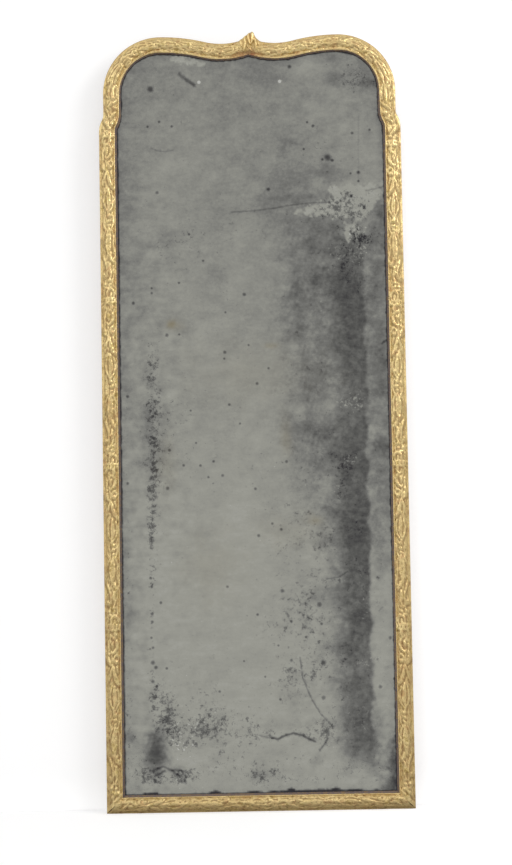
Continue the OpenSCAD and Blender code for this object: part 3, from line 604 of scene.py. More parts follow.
# Crisp black dots: x, z, half-width.
DOTS = [
    (-203, 1472, 5.5), (6, 861, 2.6), (-51, 819, 2.2), (-130, 808, 1.8), (-174, 728, 2.6), (-146, 697, 2.4),
    (-112, 696, 2.2), (-85, 704, 2.2), (-67, 675, 2.6), (-96, 672, 2.0), (-1, 647, 2.4), (32, 576, 2.2),
    (50, 564, 2.4), (4, 552, 2.6), (-258, 839, 2.6), (-260, 662, 2.4), (-179, 651, 3.0), (63, 701, 2.6),
    (-59, 926, 2.8), (-17, 1044, 3.0), (-192, 1257, 2.8), (36, 1260, 3.2), (210, 1374, 2.4),
    (221, 1292, 3.0), (205, 1290, 2.0), (221, 1274, 2.0), (-61, 450, 2.4), (50, 440, 3.4), (-1, 393, 2.2),
    (124, 411, 4.0), (67, 378, 2.4), (130, 294, 4.6), (129, 224, 3.6), (42, 222, 2.2), (-80, 240, 2.2),
    (266, 342, 2.8), (244, 244, 3.2), (273, 260, 2.6), (159, 1324, 6.5), (168, 1318, 3.0), (148, 1320, 2.2),
    (84, 1514, 3.2), (176, 1230, 3.4), (192, 1238, 2.8), (206, 1243, 2.6), (183, 1234, 2.4),
    (232, 1220, 3.2), (161, 1231, 2.6), (-176, 963, 3.0), (-151, 964, 2.0), (-60, 913, 2.0),
    (-10, 940, 1.8), (30, 892, 2.0), (-30, 780, 1.8), (-120, 742, 1.8), (-210, 1394, 2.0),
    (-186, 1404, 2.2), (-160, 1394, 2.2), (-244, 1030, 2.6), (-150, 1070, 2.0), (-206, 1050, 2.2),
    (-100, 1115, 2.0), (-128, 1170, 2.0), (-56, 1008, 1.8), (-206, 1060, 1.8), (66, 300, 2.4),
    (40, 330, 1.8), (96, 346, 2.2), (128, 372, 2.2), (-30, 300, 1.6), (12, 268, 1.6), (-196, 420, 2.4),
    (-214, 452, 2.2), (-216, 470, 2.4), (-214, 398, 2.8), (-214, 382, 2.4), (-216, 350, 2.2),
    (-213, 330, 2.2), (-214, 300, 3.6), (-208, 290, 3.0), (-186, 288, 2.2), (-214, 262, 3.0),
    (-206, 252, 2.4), (110, 1342, 2.0), (246, 1380, 2.0), (130, 1390, 2.6), (118, 1398, 2.0),
]
# Fine dark lines, such as cracks in the silvering: points in x and z, half-width, depth.
LINES = [
    ([(-143, 1503), (-130, 1491), (-113, 1479)], 3.4, 0.50),
    ([(224, 1408), (222, 1340), (221, 1276)], 1.2, 0.10),
    ([(-40, 1214), (0, 1216), (50, 1221), (80, 1226), (130, 1231), (160, 1231)], 1.6, 0.26),
    ([(236, 1254), (252, 1257), (272, 1262)], 1.8, 0.26),
    ([(-204, 1350), (-192, 1344), (-176, 1342), (-158, 1345)], 1.8, 0.20),
    ([(83, 306), (88, 264), (104, 224), (122, 192), (147, 166)], 1.5, 0.40),
    ([(24, 146), (36, 143), (51, 150), (68, 154), (84, 150), (96, 143), (110, 137)], 2.4, 0.62),
    ([(-2, 151), (12, 147), (26, 144)], 1.8, 0.3), ([(136, 142), (128, 130), (119, 119)], 1.9, 0.48),
    ([(-216, 84), (-196, 92), (-178, 84), (-162, 84), (-140, 78)], 2.4, 0.4),
    ([(-178, 84), (-164, 72), (-150, 58)], 2.4, 0.44), ([(-206, 76), (-192, 84)], 2.0, 0.4),
    ([(-160, 84), (-150, 70)], 1.8, 0.4), ([(140, 462), (166, 466), (182, 476)], 1.6, 0.26),
    ([(262, 938), (272, 946)], 2.0, 0.34), ([(244, 396), (252, 404)], 1.6, 0.24),
]
# Where the silvering is sprinkled with fine black specks: x, z, half-width, half-height, how thickly.
SPRINKLES = [
    (110, 560, 80, 130, 0.26), (110, 340, 80, 90, 0.34), (90, 440, 60, 60, 0.28),
    (-205, 730, 19, 150, 0.85), (-207, 880, 12, 110, 0.5), (-212, 560, 9, 110, 0.8),
    (-215, 380, 7, 110, 0.7), (-170, 780, 40, 120, 0.34), (-205, 215, 26, 50, 0.72),
    (-172, 185, 44, 44, 0.52), (-150, 145, 44, 24, 0.70), (-105, 160, 44, 34, 0.42),
    (-110, 220, 80, 60, 0.36), (-60, 170, 60, 36, 0.5), (-10, 155, 44, 20, 0.7), (-160, 72, 56, 18, 1.0),
    (-6, 74, 44, 22, 0.9), (110, 150, 56, 20, 0.66), (130, 170, 40, 26, 0.62), (-230, 70, 30, 24, 0.8),
    (90, 62, 60, 14, 0.6), (-60, 100, 60, 30, 0.4), (180, 90, 40, 30, 0.6), (68, 250, 34, 34, 0.55),
    (110, 270, 50, 40, 0.4), (70, 390, 50, 50, 0.35), (60, 560, 50, 40, 0.3), (200, 830, 26, 40, 0.3),
    (150, 700, 60, 60, 0.35), (200, 660, 40, 60, 0.25), (140, 560, 70, 40, 0.3), (200, 460, 40, 60, 0.3),
    (190, 300, 44, 40, 0.35), (200, 190, 40, 60, 0.4), (214, 1172, 38, 16, 1.0), (232, 1150, 30, 14, 0.7),
    (186, 1118, 40, 30, 0.5), (220, 1490, 44, 26, 0.85), (205, 1238, 50, 22, 0.8),
    (172, 1214, 44, 18, 0.95), (214, 1204, 30, 14, 0.8), (210, 1060, 40, 70, 0.5),
    (130, 1345, 60, 40, 0.25), (210, 1330, 26, 70, 0.3), (-160, 1140, 80, 60, 0.22),
    (-60, 1010, 120, 160, 0.14), (-40, 760, 160, 120, 0.16), (-190, 1400, 50, 16, 0.35),
    (250, 500, 30, 160, 0.2), (258, 280, 22, 50, 0.25), (0, 640, 140, 60, 0.1), (-262, 420, 10, 260, 0.4),
    (-262, 180, 12, 90, 0.32), (256, 90, 24, 40, 0.6), (120, 880, 60, 60, 0.35), (-240, 100, 30, 40, 0.4),
    (0, 300, 200, 120, 0.12), (0, 1300, 200, 140, 0.1), (80, 100, 60, 20, 0.35), (-60, 1180, 120, 60, 0.14),
]
# Where it is broken into pale crumbs, in the same way.
CRUMBS = [
    (205, 826, 26, 26, 1.0), (184, 818, 26, 12, 1.0), (195, 700, 24, 16, 1.0), (226, 1130, 20, 26, 0.9),
    (-150, 170, 60, 36, 0.8), (170, 640, 30, 20, 0.8), (200, 465, 24, 60, 0.5), (210, 292, 24, 14, 0.9),
    (205, 190, 30, 46, 0.7), (-205, 840, 14, 30, 0.5), (-200, 700, 14, 60, 0.45), (-160, 130, 40, 20, 0.6),
    (214, 1172, 34, 14, 1.0), (190, 1130, 40, 24, 0.7), (232, 1488, 30, 22, 0.6), (-160, 66, 40, 14, 0.5),
    (262, 62, 12, 14, 0.9), (170, 1100, 50, 24, 0.4), (130, 1020, 20, 30, 0.4), (214, 410, 12, 50, 0.5),
]
# Pinholes where bare light shows: x, z, half-width.
PINHOLES = [(-103, 1485, 2.4), (63, 1484, 2.4)]
# How far in from each side the edge is dark, where damp crept in under the rebate.
EDGE_REACH = {"left": 3.0, "right": 2.0, "top": 2.2, "foot": 1.8}
# Warm brown stains: x, z, half-width, half-height, strength.
STAINS = [
    (-169, 985, 9, 7, 0.45), (-160, 982, 16, 12, 0.2), (34, 938, 14, 6, 0.3), (62, 752, 12, 34, 0.22),
    (119, 581, 14, 9, 0.35), (-90, 490, 60, 70, 0.10), (0, 880, 120, 60, 0.08), (-180, 700, 20, 60, 0.12),
    (60, 560, 60, 30, 0.10),
]
# How dim the plate is at each height, for no mark at all. This is painted reflection: the plate is darker
# towards the top, as it would mirror a room that is brighter below.
PAINTED_REFLECTION_DIMNESS = [
    (36, 0.0), (440, 0.0), (640, 0.03), (850, 0.09), (1050, 0.14), (1300, 0.16), (1500, 0.2),
]
# Bumps in the dark edge at the foot: x, half-width, how far they reach up.
FOOT_BUMPS = [
    (-216, 8, 3), (-232, 6, 2), (-92, 11, 5), (-12, 12, 3), (30, 14, 2), (60, 9, 6), (90, 40, 3),
    (150, 9, 6), (130, 30, 2), (190, 14, 3), (232, 8, 2),
]


def scatter(places, x, z, wander):
    """Sums soft oval marks at the points, with their edges pushed about by the wander."""
    total = np.zeros(x.shape)
    for cx, cz, rx, rz, depth in places:
        here = np.nonzero((abs(x - cx) < 2.2 * rx) & (abs(z - cz) < 2.2 * rz))[0]
        far = np.hypot((x[here] - cx) / rx, (z[here] - cz) / rz) + wander[here]
        total[here] += depth * np.exp(-np.clip(far, 0, None) ** 2 * 1.1)
    return total


def line_distance(points, x, z):
    """The distance of each point from a bent line."""
    best = np.full(x.shape, 1e9)
    for (ax, az), (bx, bz) in zip(points, points[1:]):
        k = np.clip(((x - ax) * (bx - ax) + (z - az) * (bz - az)) / ((bx - ax) ** 2 + (bz - az) ** 2), 0, 1)
        best = np.minimum(best, np.hypot(x - ax - k * (bx - ax), z - az - k * (bz - az)))
    return best


def inside_outline(points, x, z):
    """Whether each point lies within a closed outline."""
    result = np.zeros(x.shape, bool)
    for (ax, az), (bx, bz) in zip(points, points[1:] + points[:1]):
        if az != bz:
            result ^= ((az > z) != (bz > z)) & (x < (bx - ax) * (z - az) / (bz - az) + ax)
    return result


# How many waves that run every way make up one wavering.
WAVES = 14


def wavering(x, z, size, seed):
    """Smooth random swells over the plate, about as wide as the size given."""
    rng = np.random.default_rng(seed)
    total = np.zeros(x.shape)
    for _ in range(WAVES):
        turn = rng.uniform(0, 2 * math.pi)
        pace = 2 * math.pi / (size * rng.uniform(0.7, 1.8))
        total += np.sin(pace * (x * math.cos(turn) + z * math.sin(turn)) + rng.uniform(0, 2 * math.pi))
    return total / WAVES ** 0.5


def clouds_and_painted_dimming(x, z, wander):
    """How dark the clouds, the streak down the right and the painted reflection's dimming by height make the
    plate, at each point.
    """
    dark = scatter(CLOUDS, x, z, wander) + 0.026 * wavering(x, z, 120, 4) + 0.022 * wavering(x, z, 55, 5)
    # Painted reflection: the plate is dimmed more towards the top.
    dark = dark + np.interp(z, *zip(*PAINTED_REFLECTION_DIMNESS)) + 0.05 * np.clip((-x - 215) / 40, 0, 1)
    # The middle has kept best: the unevenness grows towards both sides.
    sides = np.clip((abs(x + 30) - 60) / 130, 0, 1) * np.interp(z, (1000, 1250), (1.0, 0.4))
    dark = dark + (0.014 + 0.045 * sides) * wavering(x, z, 34, 14)
    dark = dark + (0.004 + 0.030 * sides) * wavering(x, z, 13, 15)
    heights, depths = zip(*STREAK[::-1])
    depth = np.interp(z, heights, depths, left=0, right=0)
    off = x - STREAK_RIGHT - 3 * wavering(x * 0, z, 60, 6) - 1.5 * wavering(x, z, 14, 7)
    core = np.where(off > 0, np.exp(-(off / 5) ** 2), np.exp(-(np.clip(-off - 30, 0, None) / 28) ** 2))
    dark = np.maximum(dark, 0) + depth * core * (1 + 0.12 * wavering(x, z, 18, 8))
    # Overlapping clouds never get darker than the bare wood behind the glass looks.
    return DARKEST * np.tanh(dark / DARKEST)


def edge_rot(x, z, edge, dark):
    """How far the silvering has rotted along the edge, and how dark it is with the shade beside the rot."""
    foot = edge["foot"] - sum(rise * np.exp(-((x - cx) / wide) ** 2) for cx, wide, rise in FOOT_BUMPS)
    damp = 0.9 * wavering(x, z, 30, 12) + 0.7 * wavering(x, z, 9, 13)
    rot = np.zeros(x.shape)
    for side, reach in EDGE_REACH.items():
        far = foot if side == "foot" else edge[side]
        rot = np.maximum(rot, np.clip(1.25 - (far + 0.5 * damp) / reach, 0, 1))
        dark = dark + 0.10 * np.exp(-(np.clip(far, 0, None) / 11) ** 2)
    return rot, dark


def plate_marks(x, z, edge):
    """How dark, pale, rotted, specked, crumbled and stained the silvering is at each point.

    edge is the way from each point to the frame, on each side.
    """
    wander = 0.16 * wavering(x, z, 60, 1) + 0.12 * wavering(x, z, 24, 2) + 0.10 * wavering(x, z, 11, 3)
    dark = clouds_and_painted_dimming(x, z, wander)
    pale = np.zeros(x.shape)
    for outline, strength in FLAKES:
        far = line_distance(outline + outline[:1], x, z) * np.where(inside_outline(outline, x, z), 1, -1)
        shift = 3.6 * wavering(x, z, 16, 9) + 2.6 * wavering(x, z, 7, 10)
        mask = np.clip(0.5 + (far + shift) / 3.2, 0, 1)
        pale = np.maximum(pale, strength * mask)
        dark = dark * (1 - mask) + 0.05 * mask
    for points, width, strength in LINES:
        far = line_distance(points, x, z) + 0.5 * wavering(x, z, 9, 11)
        dark = np.maximum(dark, dark + strength * np.clip(1.4 - far / width, 0, 1))
    black = np.zeros(x.shape)
    for cx, cz, r in DOTS:
        black = np.maximum(black, 0.6 * np.clip(1.6 - np.hypot(x - cx, z - cz) / (0.9 * r), 0, 1))
    for cx, cz, r in PINHOLES:
        pale = np.maximum(pale, np.clip(1.8 - np.hypot(x - cx, z - cz) / r, 0, 1))
    rot, dark = edge_rot(x, z, edge, dark)
    specks = np.clip(scatter(SPRINKLES, x, z, wander), 0, 1.2)
    crumbs = np.clip(scatter(CRUMBS, x, z, wander), 0, 1)
    warm = np.clip(scatter(STAINS, x, z, wander), 0, 1)
    return (("dark", np.clip(dark + black, 0, 1)), ("pale", pale), ("rot", rot), ("specks", specks),
            ("crumbs", crumbs), ("warm", warm))


# ---------------------------------------------------------------- finishes
def linear(hexcode):
    """An sRGB hex colour as the linear colour that a shader takes."""
    values = [int(hexcode[i:i + 2], 16) / 255 for i in (0, 2, 4)]
    return [v / 12.92 if v <= 0.04045 else ((v + 0.055) / 1.055) ** 2.4 for v in values] + [1.0]


def feed(made, *values, **named):
    """Sets inputs of a node in order, and others by name: a socket is joined, anything else is put in."""
    inputs = [socket for socket in made.inputs if socket.enabled]
    by_name = {socket.name.replace(" ", "_"): socket for socket in reversed(inputs)}
    for target, value in [*zip(inputs, values), *((by_name[key], value) for key, value in named.items())]:
        if isinstance(value, bpy.types.NodeSocket):
            made.id_data.links.new(value, target)
        else:
            target.default_value = value


def node(tree, kind, *values, out=0, stops=(), **options):
    """Adds a node and returns one of its outputs. kind is its type, and its operation after a space.

    values and the options with a capital go to its inputs, and the other options are its settings. stops are
    the places on a colour ramp, each with its colour or with a number for a grey.
    """
    kind, *operation = kind.split()
    made = tree.nodes.new("ShaderNode" + kind)
    if operation:
        made.operation = operation[0].upper()
    for key, value in options.items():
        if key.islower():
            setattr(made, key, value)
    if stops:
        points = made.color_ramp.elements
        while len(points) < len(stops):
            points.new(0.5)
        for point, (place, colour) in zip(points, stops):
            point.position = place
            point.color = colour if isinstance(colour, list) else (colour, colour, colour, 1)
    feed(made, *values, **{key: value for key, value in options.items() if not key.islower()})
    return made.outputs[out]


# What a mix node needs to mix two colours.
COLOURS = {"data_type": "RGBA", "out": 2}


def finish(name, slot):
    """A new finish filed under the record's slot: the material, what adds a node to it, and its shader."""
    material = bpy.data.materials.new(name)
    material.use_nodes = True
    material["slot"] = slot
    return material, partial(node, material.node_tree), material.node_tree.nodes["Principled BSDF"]


# The scale of a noise is 1000 over the width of its blotches in millimetres.
def water_gilding():
    """Water-gilded gesso, burnished on the highs: pale gold, red clay where rubbed, dirt and painted shade
    in the hollows, painted shade towards the floor.
    """
    hues = bpy.context.scene.mirror_finish
    gold = linear(hues.gold)
    material, add, shader = finish("gilt_gesso_water_gilded", "gilt_gesso")
    rise, hollow, worn = [
        add("Attribute", attribute_name=key, out="Fac") for key in ("rise", "hollow", "worn")]
    place = add("TexCoord", out="Object")
    cloud = add("TexNoise", place, 1000 / 45, 4.0, 0.55)
    fine = add("TexNoise", place, 1000 / 3.2, 5.0, 0.65)
    speck = add("TexNoise", place, 1000 / 9, 6.0, 0.7)
    patch = add("TexNoise", place, 1000 / 13, 4.0, 0.7)
    leaf = add("ValToRGB", patch,
               stops=((0.36, linear("DEBB84")), (0.47, gold), (0.56, gold), (0.66, linear("E4CC80"))))
    mellow = add("ValToRGB", cloud, stops=((0.35, 0.25), (0.60, 0.0)))
    warm = add("Mix", mellow, leaf, linear("C69A54"), **COLOURS)
    # The clay shows through in rubbed specks, and where hands have worn the leaf.
    rubbed = add("Math multiply", add("ValToRGB", speck, stops=((0.60, 0.0), (0.74, 1.0))), 0.45)
    handled = add("Math multiply", worn, add("ValToRGB", fine, stops=((0.35, 0.2), (0.6, 0.9))))
    rubbed = add("Math maximum", rubbed, handled)
    lit = add("Mix", rubbed, warm, linear(hues.bole), **COLOURS)
    # Dirt and painted shade: the hollows are darkened, and the low ground between the leaves a little.
    dirt_and_shade = add("Math multiply", add("ValToRGB", hollow, stops=((0.05, 0.0), (0.85, 1.0))),
                add("ValToRGB", fine, stops=((0.25, 0.65), (0.6, 1.0))))
    low = add("Math subtract", 1.0, rise, use_clamp=True)
    shade = add("Math maximum", add("Math multiply", dirt_and_shade, 0.68), add("Math multiply", low, 0.14))
    # Candle soot and old size have left brown freckles a few millimetres wide.
    freckle = add("TexNoise", place, 1000 / 6.5, 3.0, 0.75)
    shade = add("Math maximum", shade, add("ValToRGB", freckle, stops=((0.50, 0.0), (0.62, 0.42))))
    # Painted shade: the gilding is darker towards the floor, where less light falls on it.
    painted_shade_low = add("ValToRGB", add("SeparateXYZ", place, out="Z"),
               stops=((0.0, 0.14), (0.045, 0.15), (0.7, 0.04), (1.0, 0.0)))
    shade = add("Math add", shade, painted_shade_low, use_clamp=True)
    bright = add("Math subtract", 1.0, add("Math maximum", rubbed, shade), use_clamp=True)
    # The ground is pricked all over with a punch, at about 1.7 mm.
    punch = add("TexVoronoi", place, 1000 / 1.7, Randomness=0.8, out="Distance")
    pits = add("Bump", Strength=0.55, Distance=0.0006, Height=add("Math multiply", punch, low))
    feed(shader, Base_Color=add("Mix", shade, lit, linear(hues.grime_and_shade), **COLOURS),
         Metallic=add("Math multiply", bright, 0.72),
         Roughness=add("Math add", 0.34, add("Math multiply", shade, 0.4)),
         Normal=add("Bump", Strength=0.35, Distance=0.0005, Height=fine, Normal=pits))
    return material


def ochre_wash():
    """Gesso sides painted with yellow ochre in size: flat, chalky, scuffed to the white ground in places."""
    material, add, shader = finish("gesso_ochre_washed", "gilt_gesso")
    place = add("TexCoord", out="Object")
    cloud = add("TexNoise", place, 1000 / 30, 6.0, 0.6)
    fine = add("TexNoise", place, 1000 / 2.5, 4.0, 0.6)
    wash = linear(bpy.context.scene.mirror_finish.wash)
    soiled = [wash[0] * 0.6, wash[1] * 0.55, wash[2] * 0.5, 1]
    tone = add("ValToRGB", cloud, stops=((0.3, soiled), (0.6, wash), (0.78, linear("D6C7A4"))))
    feed(shader, Base_Color=tone, Roughness=0.72,
         Normal=add("Bump", Strength=0.4, Distance=0.0005, Height=fine))
    return material


def black_and_shaded_lip():
    """The lip against the glass, painted black so that the plate does not mirror raw wood, and dark as
    painted shade for the gap at the glass: matt, rubbed.
    """
    material, add, shader = finish("gesso_lip_blackened", "gilt_gesso")
    rubbing = add("TexNoise", add("TexCoord", out="Object"), 1000 / 7, 5.0, 0.7)
    paint = add("ValToRGB", rubbing, stops=((0.42, linear("685B5A")), (0.72, linear("8A7048"))))
    feed(shader, Base_Color=paint, Roughness=0.7)
    return material


def old_pine(name, along, pale, dark, seed, dusty=False):
    """Planed softwood gone brown: close grain lines along the board, dust and stains, open pores."""
    material, add, shader = finish(name, "pine")
    place = add("TexCoord", out="Object")
    own = add("ObjectInfo", out="Random")
    shift = add("CombineXYZ", add("Math multiply", own, 3.1), seed, add("Math multiply", own, 1.7))
    spread = [0.06 if axis == along else 1 for axis in "XYZ"]
    drawn = add("Mapping", add("VectorMath add", place, shift), Scale=spread)
    # Growth rings about 3 mm apart, and pores finer than a millimetre.
    rings = add("TexWave", drawn, 52.0, 14.0, 4.0, 0.7, out="Fac",
                wave_type="RINGS", rings_direction=along, wave_profile="SIN")
    pores = add("TexNoise", drawn, 1000 / 0.9, 3.0, 0.6)
    stain = add("TexNoise", place, 1000 / 120, 5.0, 0.6)
    tone = add("ValToRGB", rings, stops=((0.0, linear(pale)), (0.6, linear(pale)), (1.0, linear(dark))))
    for cover, first, last, most, colour in ((pores, 0.35, 0.7, 0.35, "5E4227"),
                                             (stain, 0.45, 0.75, 0.45, "6E5237")):
        share = add("ValToRGB", cover, stops=((first, 0.0), (last, most)))
        tone = add("Mix", share, tone, linear(colour), **COLOURS)
    # Each board came from another plank.
    plank = add("ValToRGB", own,
                stops=((0.0, linear("C8BFB4")), (0.5, linear("FFF6E8")), (1.0, linear("DCC6A8"))))
    tone = add("Mix", 1.0, tone, plank, blend_type="MULTIPLY", **COLOURS)
    # Dust has gathered along its two long edges.
    if dusty:
        rim = add("SeparateXYZ", add("TexCoord", out="Generated"), out="Z")
        dust = add("ValToRGB", add("Math pingpong", rim, 0.5), stops=((0.003, 0.8), (0.013, 0.0)))
        tone = add("Mix", dust, tone, linear("2E2218"), **COLOURS)
    feed(shader, Base_Color=tone, Roughness=0.78,
         Normal=add("Bump", Strength=0.5, Distance=0.0006, Height=pores))
    return material


def beech_wood():
    """Split beech for keys and tongues: pink-brown, short dark flecks along the grain."""
    material, add, shader = finish("beech_split", "beech")
    drawn = add("Mapping", add("TexCoord", out="Object"), Scale=(1, 1, 0.15))
    fleck = add("TexNoise", drawn, 1000 / 0.8, 2.0, 0.5)
    tone = add("ValToRGB", fleck, stops=((0.4, linear("B98D66")), (0.66, linear("7E5638"))))
    feed(shader, Base_Color=tone, Roughness=0.65)
    return material


def rusty_iron():
    """Hand-cut iron nails: black scale with brown rust on the heads."""
    material, add, shader = finish("iron_nail_rusted", "iron")
    spots = add("TexNoise", add("TexCoord", out="Object"), 1000 / 1.6, 5.0, 0.65)
    rust = add("ValToRGB", spots, stops=((0.42, 0.0), (0.6, 1.0)))
    feed(shader, Base_Color=add("Mix", rust, linear("3A3633"), linear("6B3B22"), **COLOURS),
         Metallic=add("Math subtract", 0.85, add("Math multiply", rust, 0.8)),
         Roughness=add("Math add", 0.5, add("Math multiply", rust, 0.35)),
         Normal=add("Bump", Strength=0.6, Distance=0.0002, Height=rust))
    return material


def old_brass():
    """Stamped brass hangers, long handled: warm metal, brown tarnish in cloudy patches, fine scratches."""
    material, add, shader = finish("brass_stamped_tarnished", "brass")
    place = add("TexCoord", out="Object")
    tarnish = add("ValToRGB", add("TexNoise", place, 1000 / 5, 5.0, 0.6), stops=((0.4, 0.0), (0.7, 0.8)))
    scratch = add("TexNoise", add("Mapping", place, Scale=(8, 1, 1)), 1000 / 0.6, 2.0, 0.55)
    feed(shader, Base_Color=add("Mix", tarnish, linear("E2B564"), linear("7C5634"), **COLOURS), Metallic=1.0,
         Roughness=add("Math add", 0.27, add("Math multiply", tarnish, 0.35)),
         Normal=add("Bump", Strength=0.15, Distance=0.0001, Height=scratch))
    return material


def foxed_mirror():
    """Old plate glass over tin amalgam: dim grey, clouded, peppered with black specks, rotted at the rim."""
    material, add, shader = finish("plate_glass_tin_silvered", "tin_amalgam")
    dark, pale, rot, specks, crumbs, warm = [
        add("Attribute", attribute_name=key, out="Fac")
        for key in ("dark", "pale", "rot", "specks", "crumbs", "warm")]
    place = add("TexCoord", out="Object")
    # Damp ran down behind the plate and dried in level bands, so the clouds are wider than they are high.
    level = add("Mapping", place, Scale=(0.75, 1, 1.5))
    apart = add("Mapping", place, Location=(1.7, 0, 0.9))
    mottle, grit, wisp = [
        add("Math subtract", add("TexNoise", spot, 1000 / size, detail, rough), 0.5)
        for spot, size, detail, rough in (
            (level, 30, 7.0, 0.62), (place, 6.5, 4.0, 0.75), (level, 15, 5.0, 0.7))]
    # Where the silvering has gone, it is uneven down to a few millimetres.
    unrest = add("Math multiply", dark, add("Math subtract", 1.6, add("Math multiply", dark, 1.5)))
    depth = add("Math add", dark, add("Math multiply", grit, add("Math add", unrest, 0.09)))
    depth = add("Math add", depth, add("Math multiply", mottle, 0.24))
    smoke = add("Math add", add("Math multiply", dark, 0.55), 0.05)
    depth = add("Math add", depth, add("Math multiply", wisp, smoke))
    # Specks of about 2 to 4 mm, larger blots and pale crumbs, where the marks say that they are thick.
    for spot, size, detail, rough, mark, bar, ease, crisp, weight in (
            (place, 9.5, 4.0, 0.9, specks, 0.65, 0.18, 8.0, 0.6),
            (level, 17, 3.0, 0.85, specks, 0.725, 0.125, 9.0, 0.5),
            (apart, 5.0, 2.0, 0.6, crumbs, 0.74, 0.21, 10.0, -0.36)):
        noise = add("TexNoise", spot, 1000 / size, detail, rough)
        limit = add("Math subtract", bar, add("Math multiply", mark, ease))
        blot = add("Math multiply", add("Math subtract", noise, limit), crisp, use_clamp=True)
        depth = add("Math add", depth, add("Math multiply", blot, weight))
    depth = add("Math add", depth, add("Math multiply", rot, 0.9))
    depth = add("Math subtract", add("Math add", depth, 0.3), pale)
    silver = linear(bpy.context.scene.mirror_finish.silver)
    tone = add("ValToRGB", add("Math multiply", depth, 0.77, use_clamp=True),
               stops=((0.0, linear("E6E6E0")), (0.231, silver), (0.50, linear("93938E")),
                      (0.77, linear("62625F")), (1.0, linear("221E26"))))
    feed(shader, Base_Color=add("Mix", warm, tone, linear("A89A74"), **COLOURS), Metallic=1.0,
         Roughness=0.06, Coat_Weight=1.0, Coat_Roughness=0.02)
    return material


# ---------------------------------------------------------------- pieces
def dress(obj, *materials):
    for material in materials:
        obj.data.materials.append(material)
    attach(obj, "mirror")
    return obj


def finish_of(name, make, *args):
    """The finish of that name, made the first time it is asked for."""
    return bpy.data.materials.get(name) or make(*args)


def gilt_set(along="Z"):
    wood = "pine_rail_aged_" + along
    return (finish_of("gilt_gesso_water_gilded", water_gilding), finish_of("gesso_ochre_washed", ochre_wash),
            finish_of(wood, old_pine, wood, along, "B98F5C", "946C42", 0.0),
            finish_of("gesso_lip_blackened", black_and_shaded_lip))


def repeats_on(hand):
    """The carving of one side: four repeats up the stile, then the ear, then the top."""
    clasps = CLASPS[hand]

    def lay(relief, height):
        low, high = relief.u.min(), relief.u.max()
        for below, above in zip(clasps, clasps[1:]):
            if low < above + 10 and high > below - 10:
                carve(relief, height, above, -1, (above - below) / REPEAT_LENGTH, REPEAT, REPEAT_BEADS)
        if low < 60:
            carve(relief, height, -HALF_RAIL, 1, 1.0, CORNER_LEAF, [])
        if high > clasps[-1] - 10 and low < EAR_END + 12:
            carve(relief, height, clasps[-1], 1, (EAR_END - clasps[-1]) / EAR_LENGTH, EAR, EAR_BEADS)
        if high > EAR_END - 10:
            carve(relief, height, EAR_END, 1, 1.0, TOP, TOP_BEADS, 0.8)
    return lay


def repeats_on_foot(relief, height):
    """The bottom rail: one repeat from each corner to the middle."""
    length = 2 * STILE_X
    scale = STILE_X / REPEAT_LENGTH
    carve(relief, height, 0, 1, scale, REPEAT, REPEAT_BEADS, 0.75)
    carve(relief, height, length, -1, scale, REPEAT, REPEAT_BEADS, 0.75)
    carve(relief, height, -HALF_RAIL, 1, 1.0, CORNER_LEAF, [])
    carve(relief, height, length + HALF_RAIL, -1, 1.0, CORNER_LEAF, [])


def constant(value):
    return lambda s: np.full(s.shape, float(value))


class PIERMIRROR_OT_foot(bpy.types.Operator):
    """Carve and gild the bottom rail"""
    bl_idname = "pier_mirror.foot"
    bl_label = "Bottom rail"

    def execute(self, context):
        rail = sweep("bottom_rail_carved", FOOT_LINE, lambda s: s - HALF_RAIL,
                     lambda s: 2 * STILE_X + HALF_RAIL - s, False, repeats_on_foot, 11)
        dress(rail, *gilt_set("X"))
        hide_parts("bottom_rail")
        return {"FINISHED"}


# How much more uneven the ground of the arches is than that of the other rails.
LOOSE = 1.7


class PIERMIRROR_OT_sides(bpy.types.Operator):
    """Carve and gild the stiles, ears and arches"""
    bl_idname = "pier_mirror.sides"
    bl_label = "Stiles, ears and arches"

    def execute(self, context):
        parts = (("stile", lambda s: s - HALF_RAIL, constant(STILE_END)),
                 ("ear", constant(STILE_END), constant(EAR_END)),
                 ("arch", constant(EAR_END), waist_cut(LEAF_HALF)))
        for hand, mirrored, seed in (("left", True, 20), ("right", False, 40)):
            for i, (part, first, last) in enumerate(parts):
                rail = sweep(f"{hand}_{part}_carved", SIDE_LINE, first, last, mirrored, repeats_on(hand),
                             seed + 3 * i, LOOSE if part == "arch" else 1.0)
                dress(rail, *gilt_set("X" if part == "arch" else "Z"))
                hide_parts(f"{hand}_{part}")
        return {"FINISHED"}


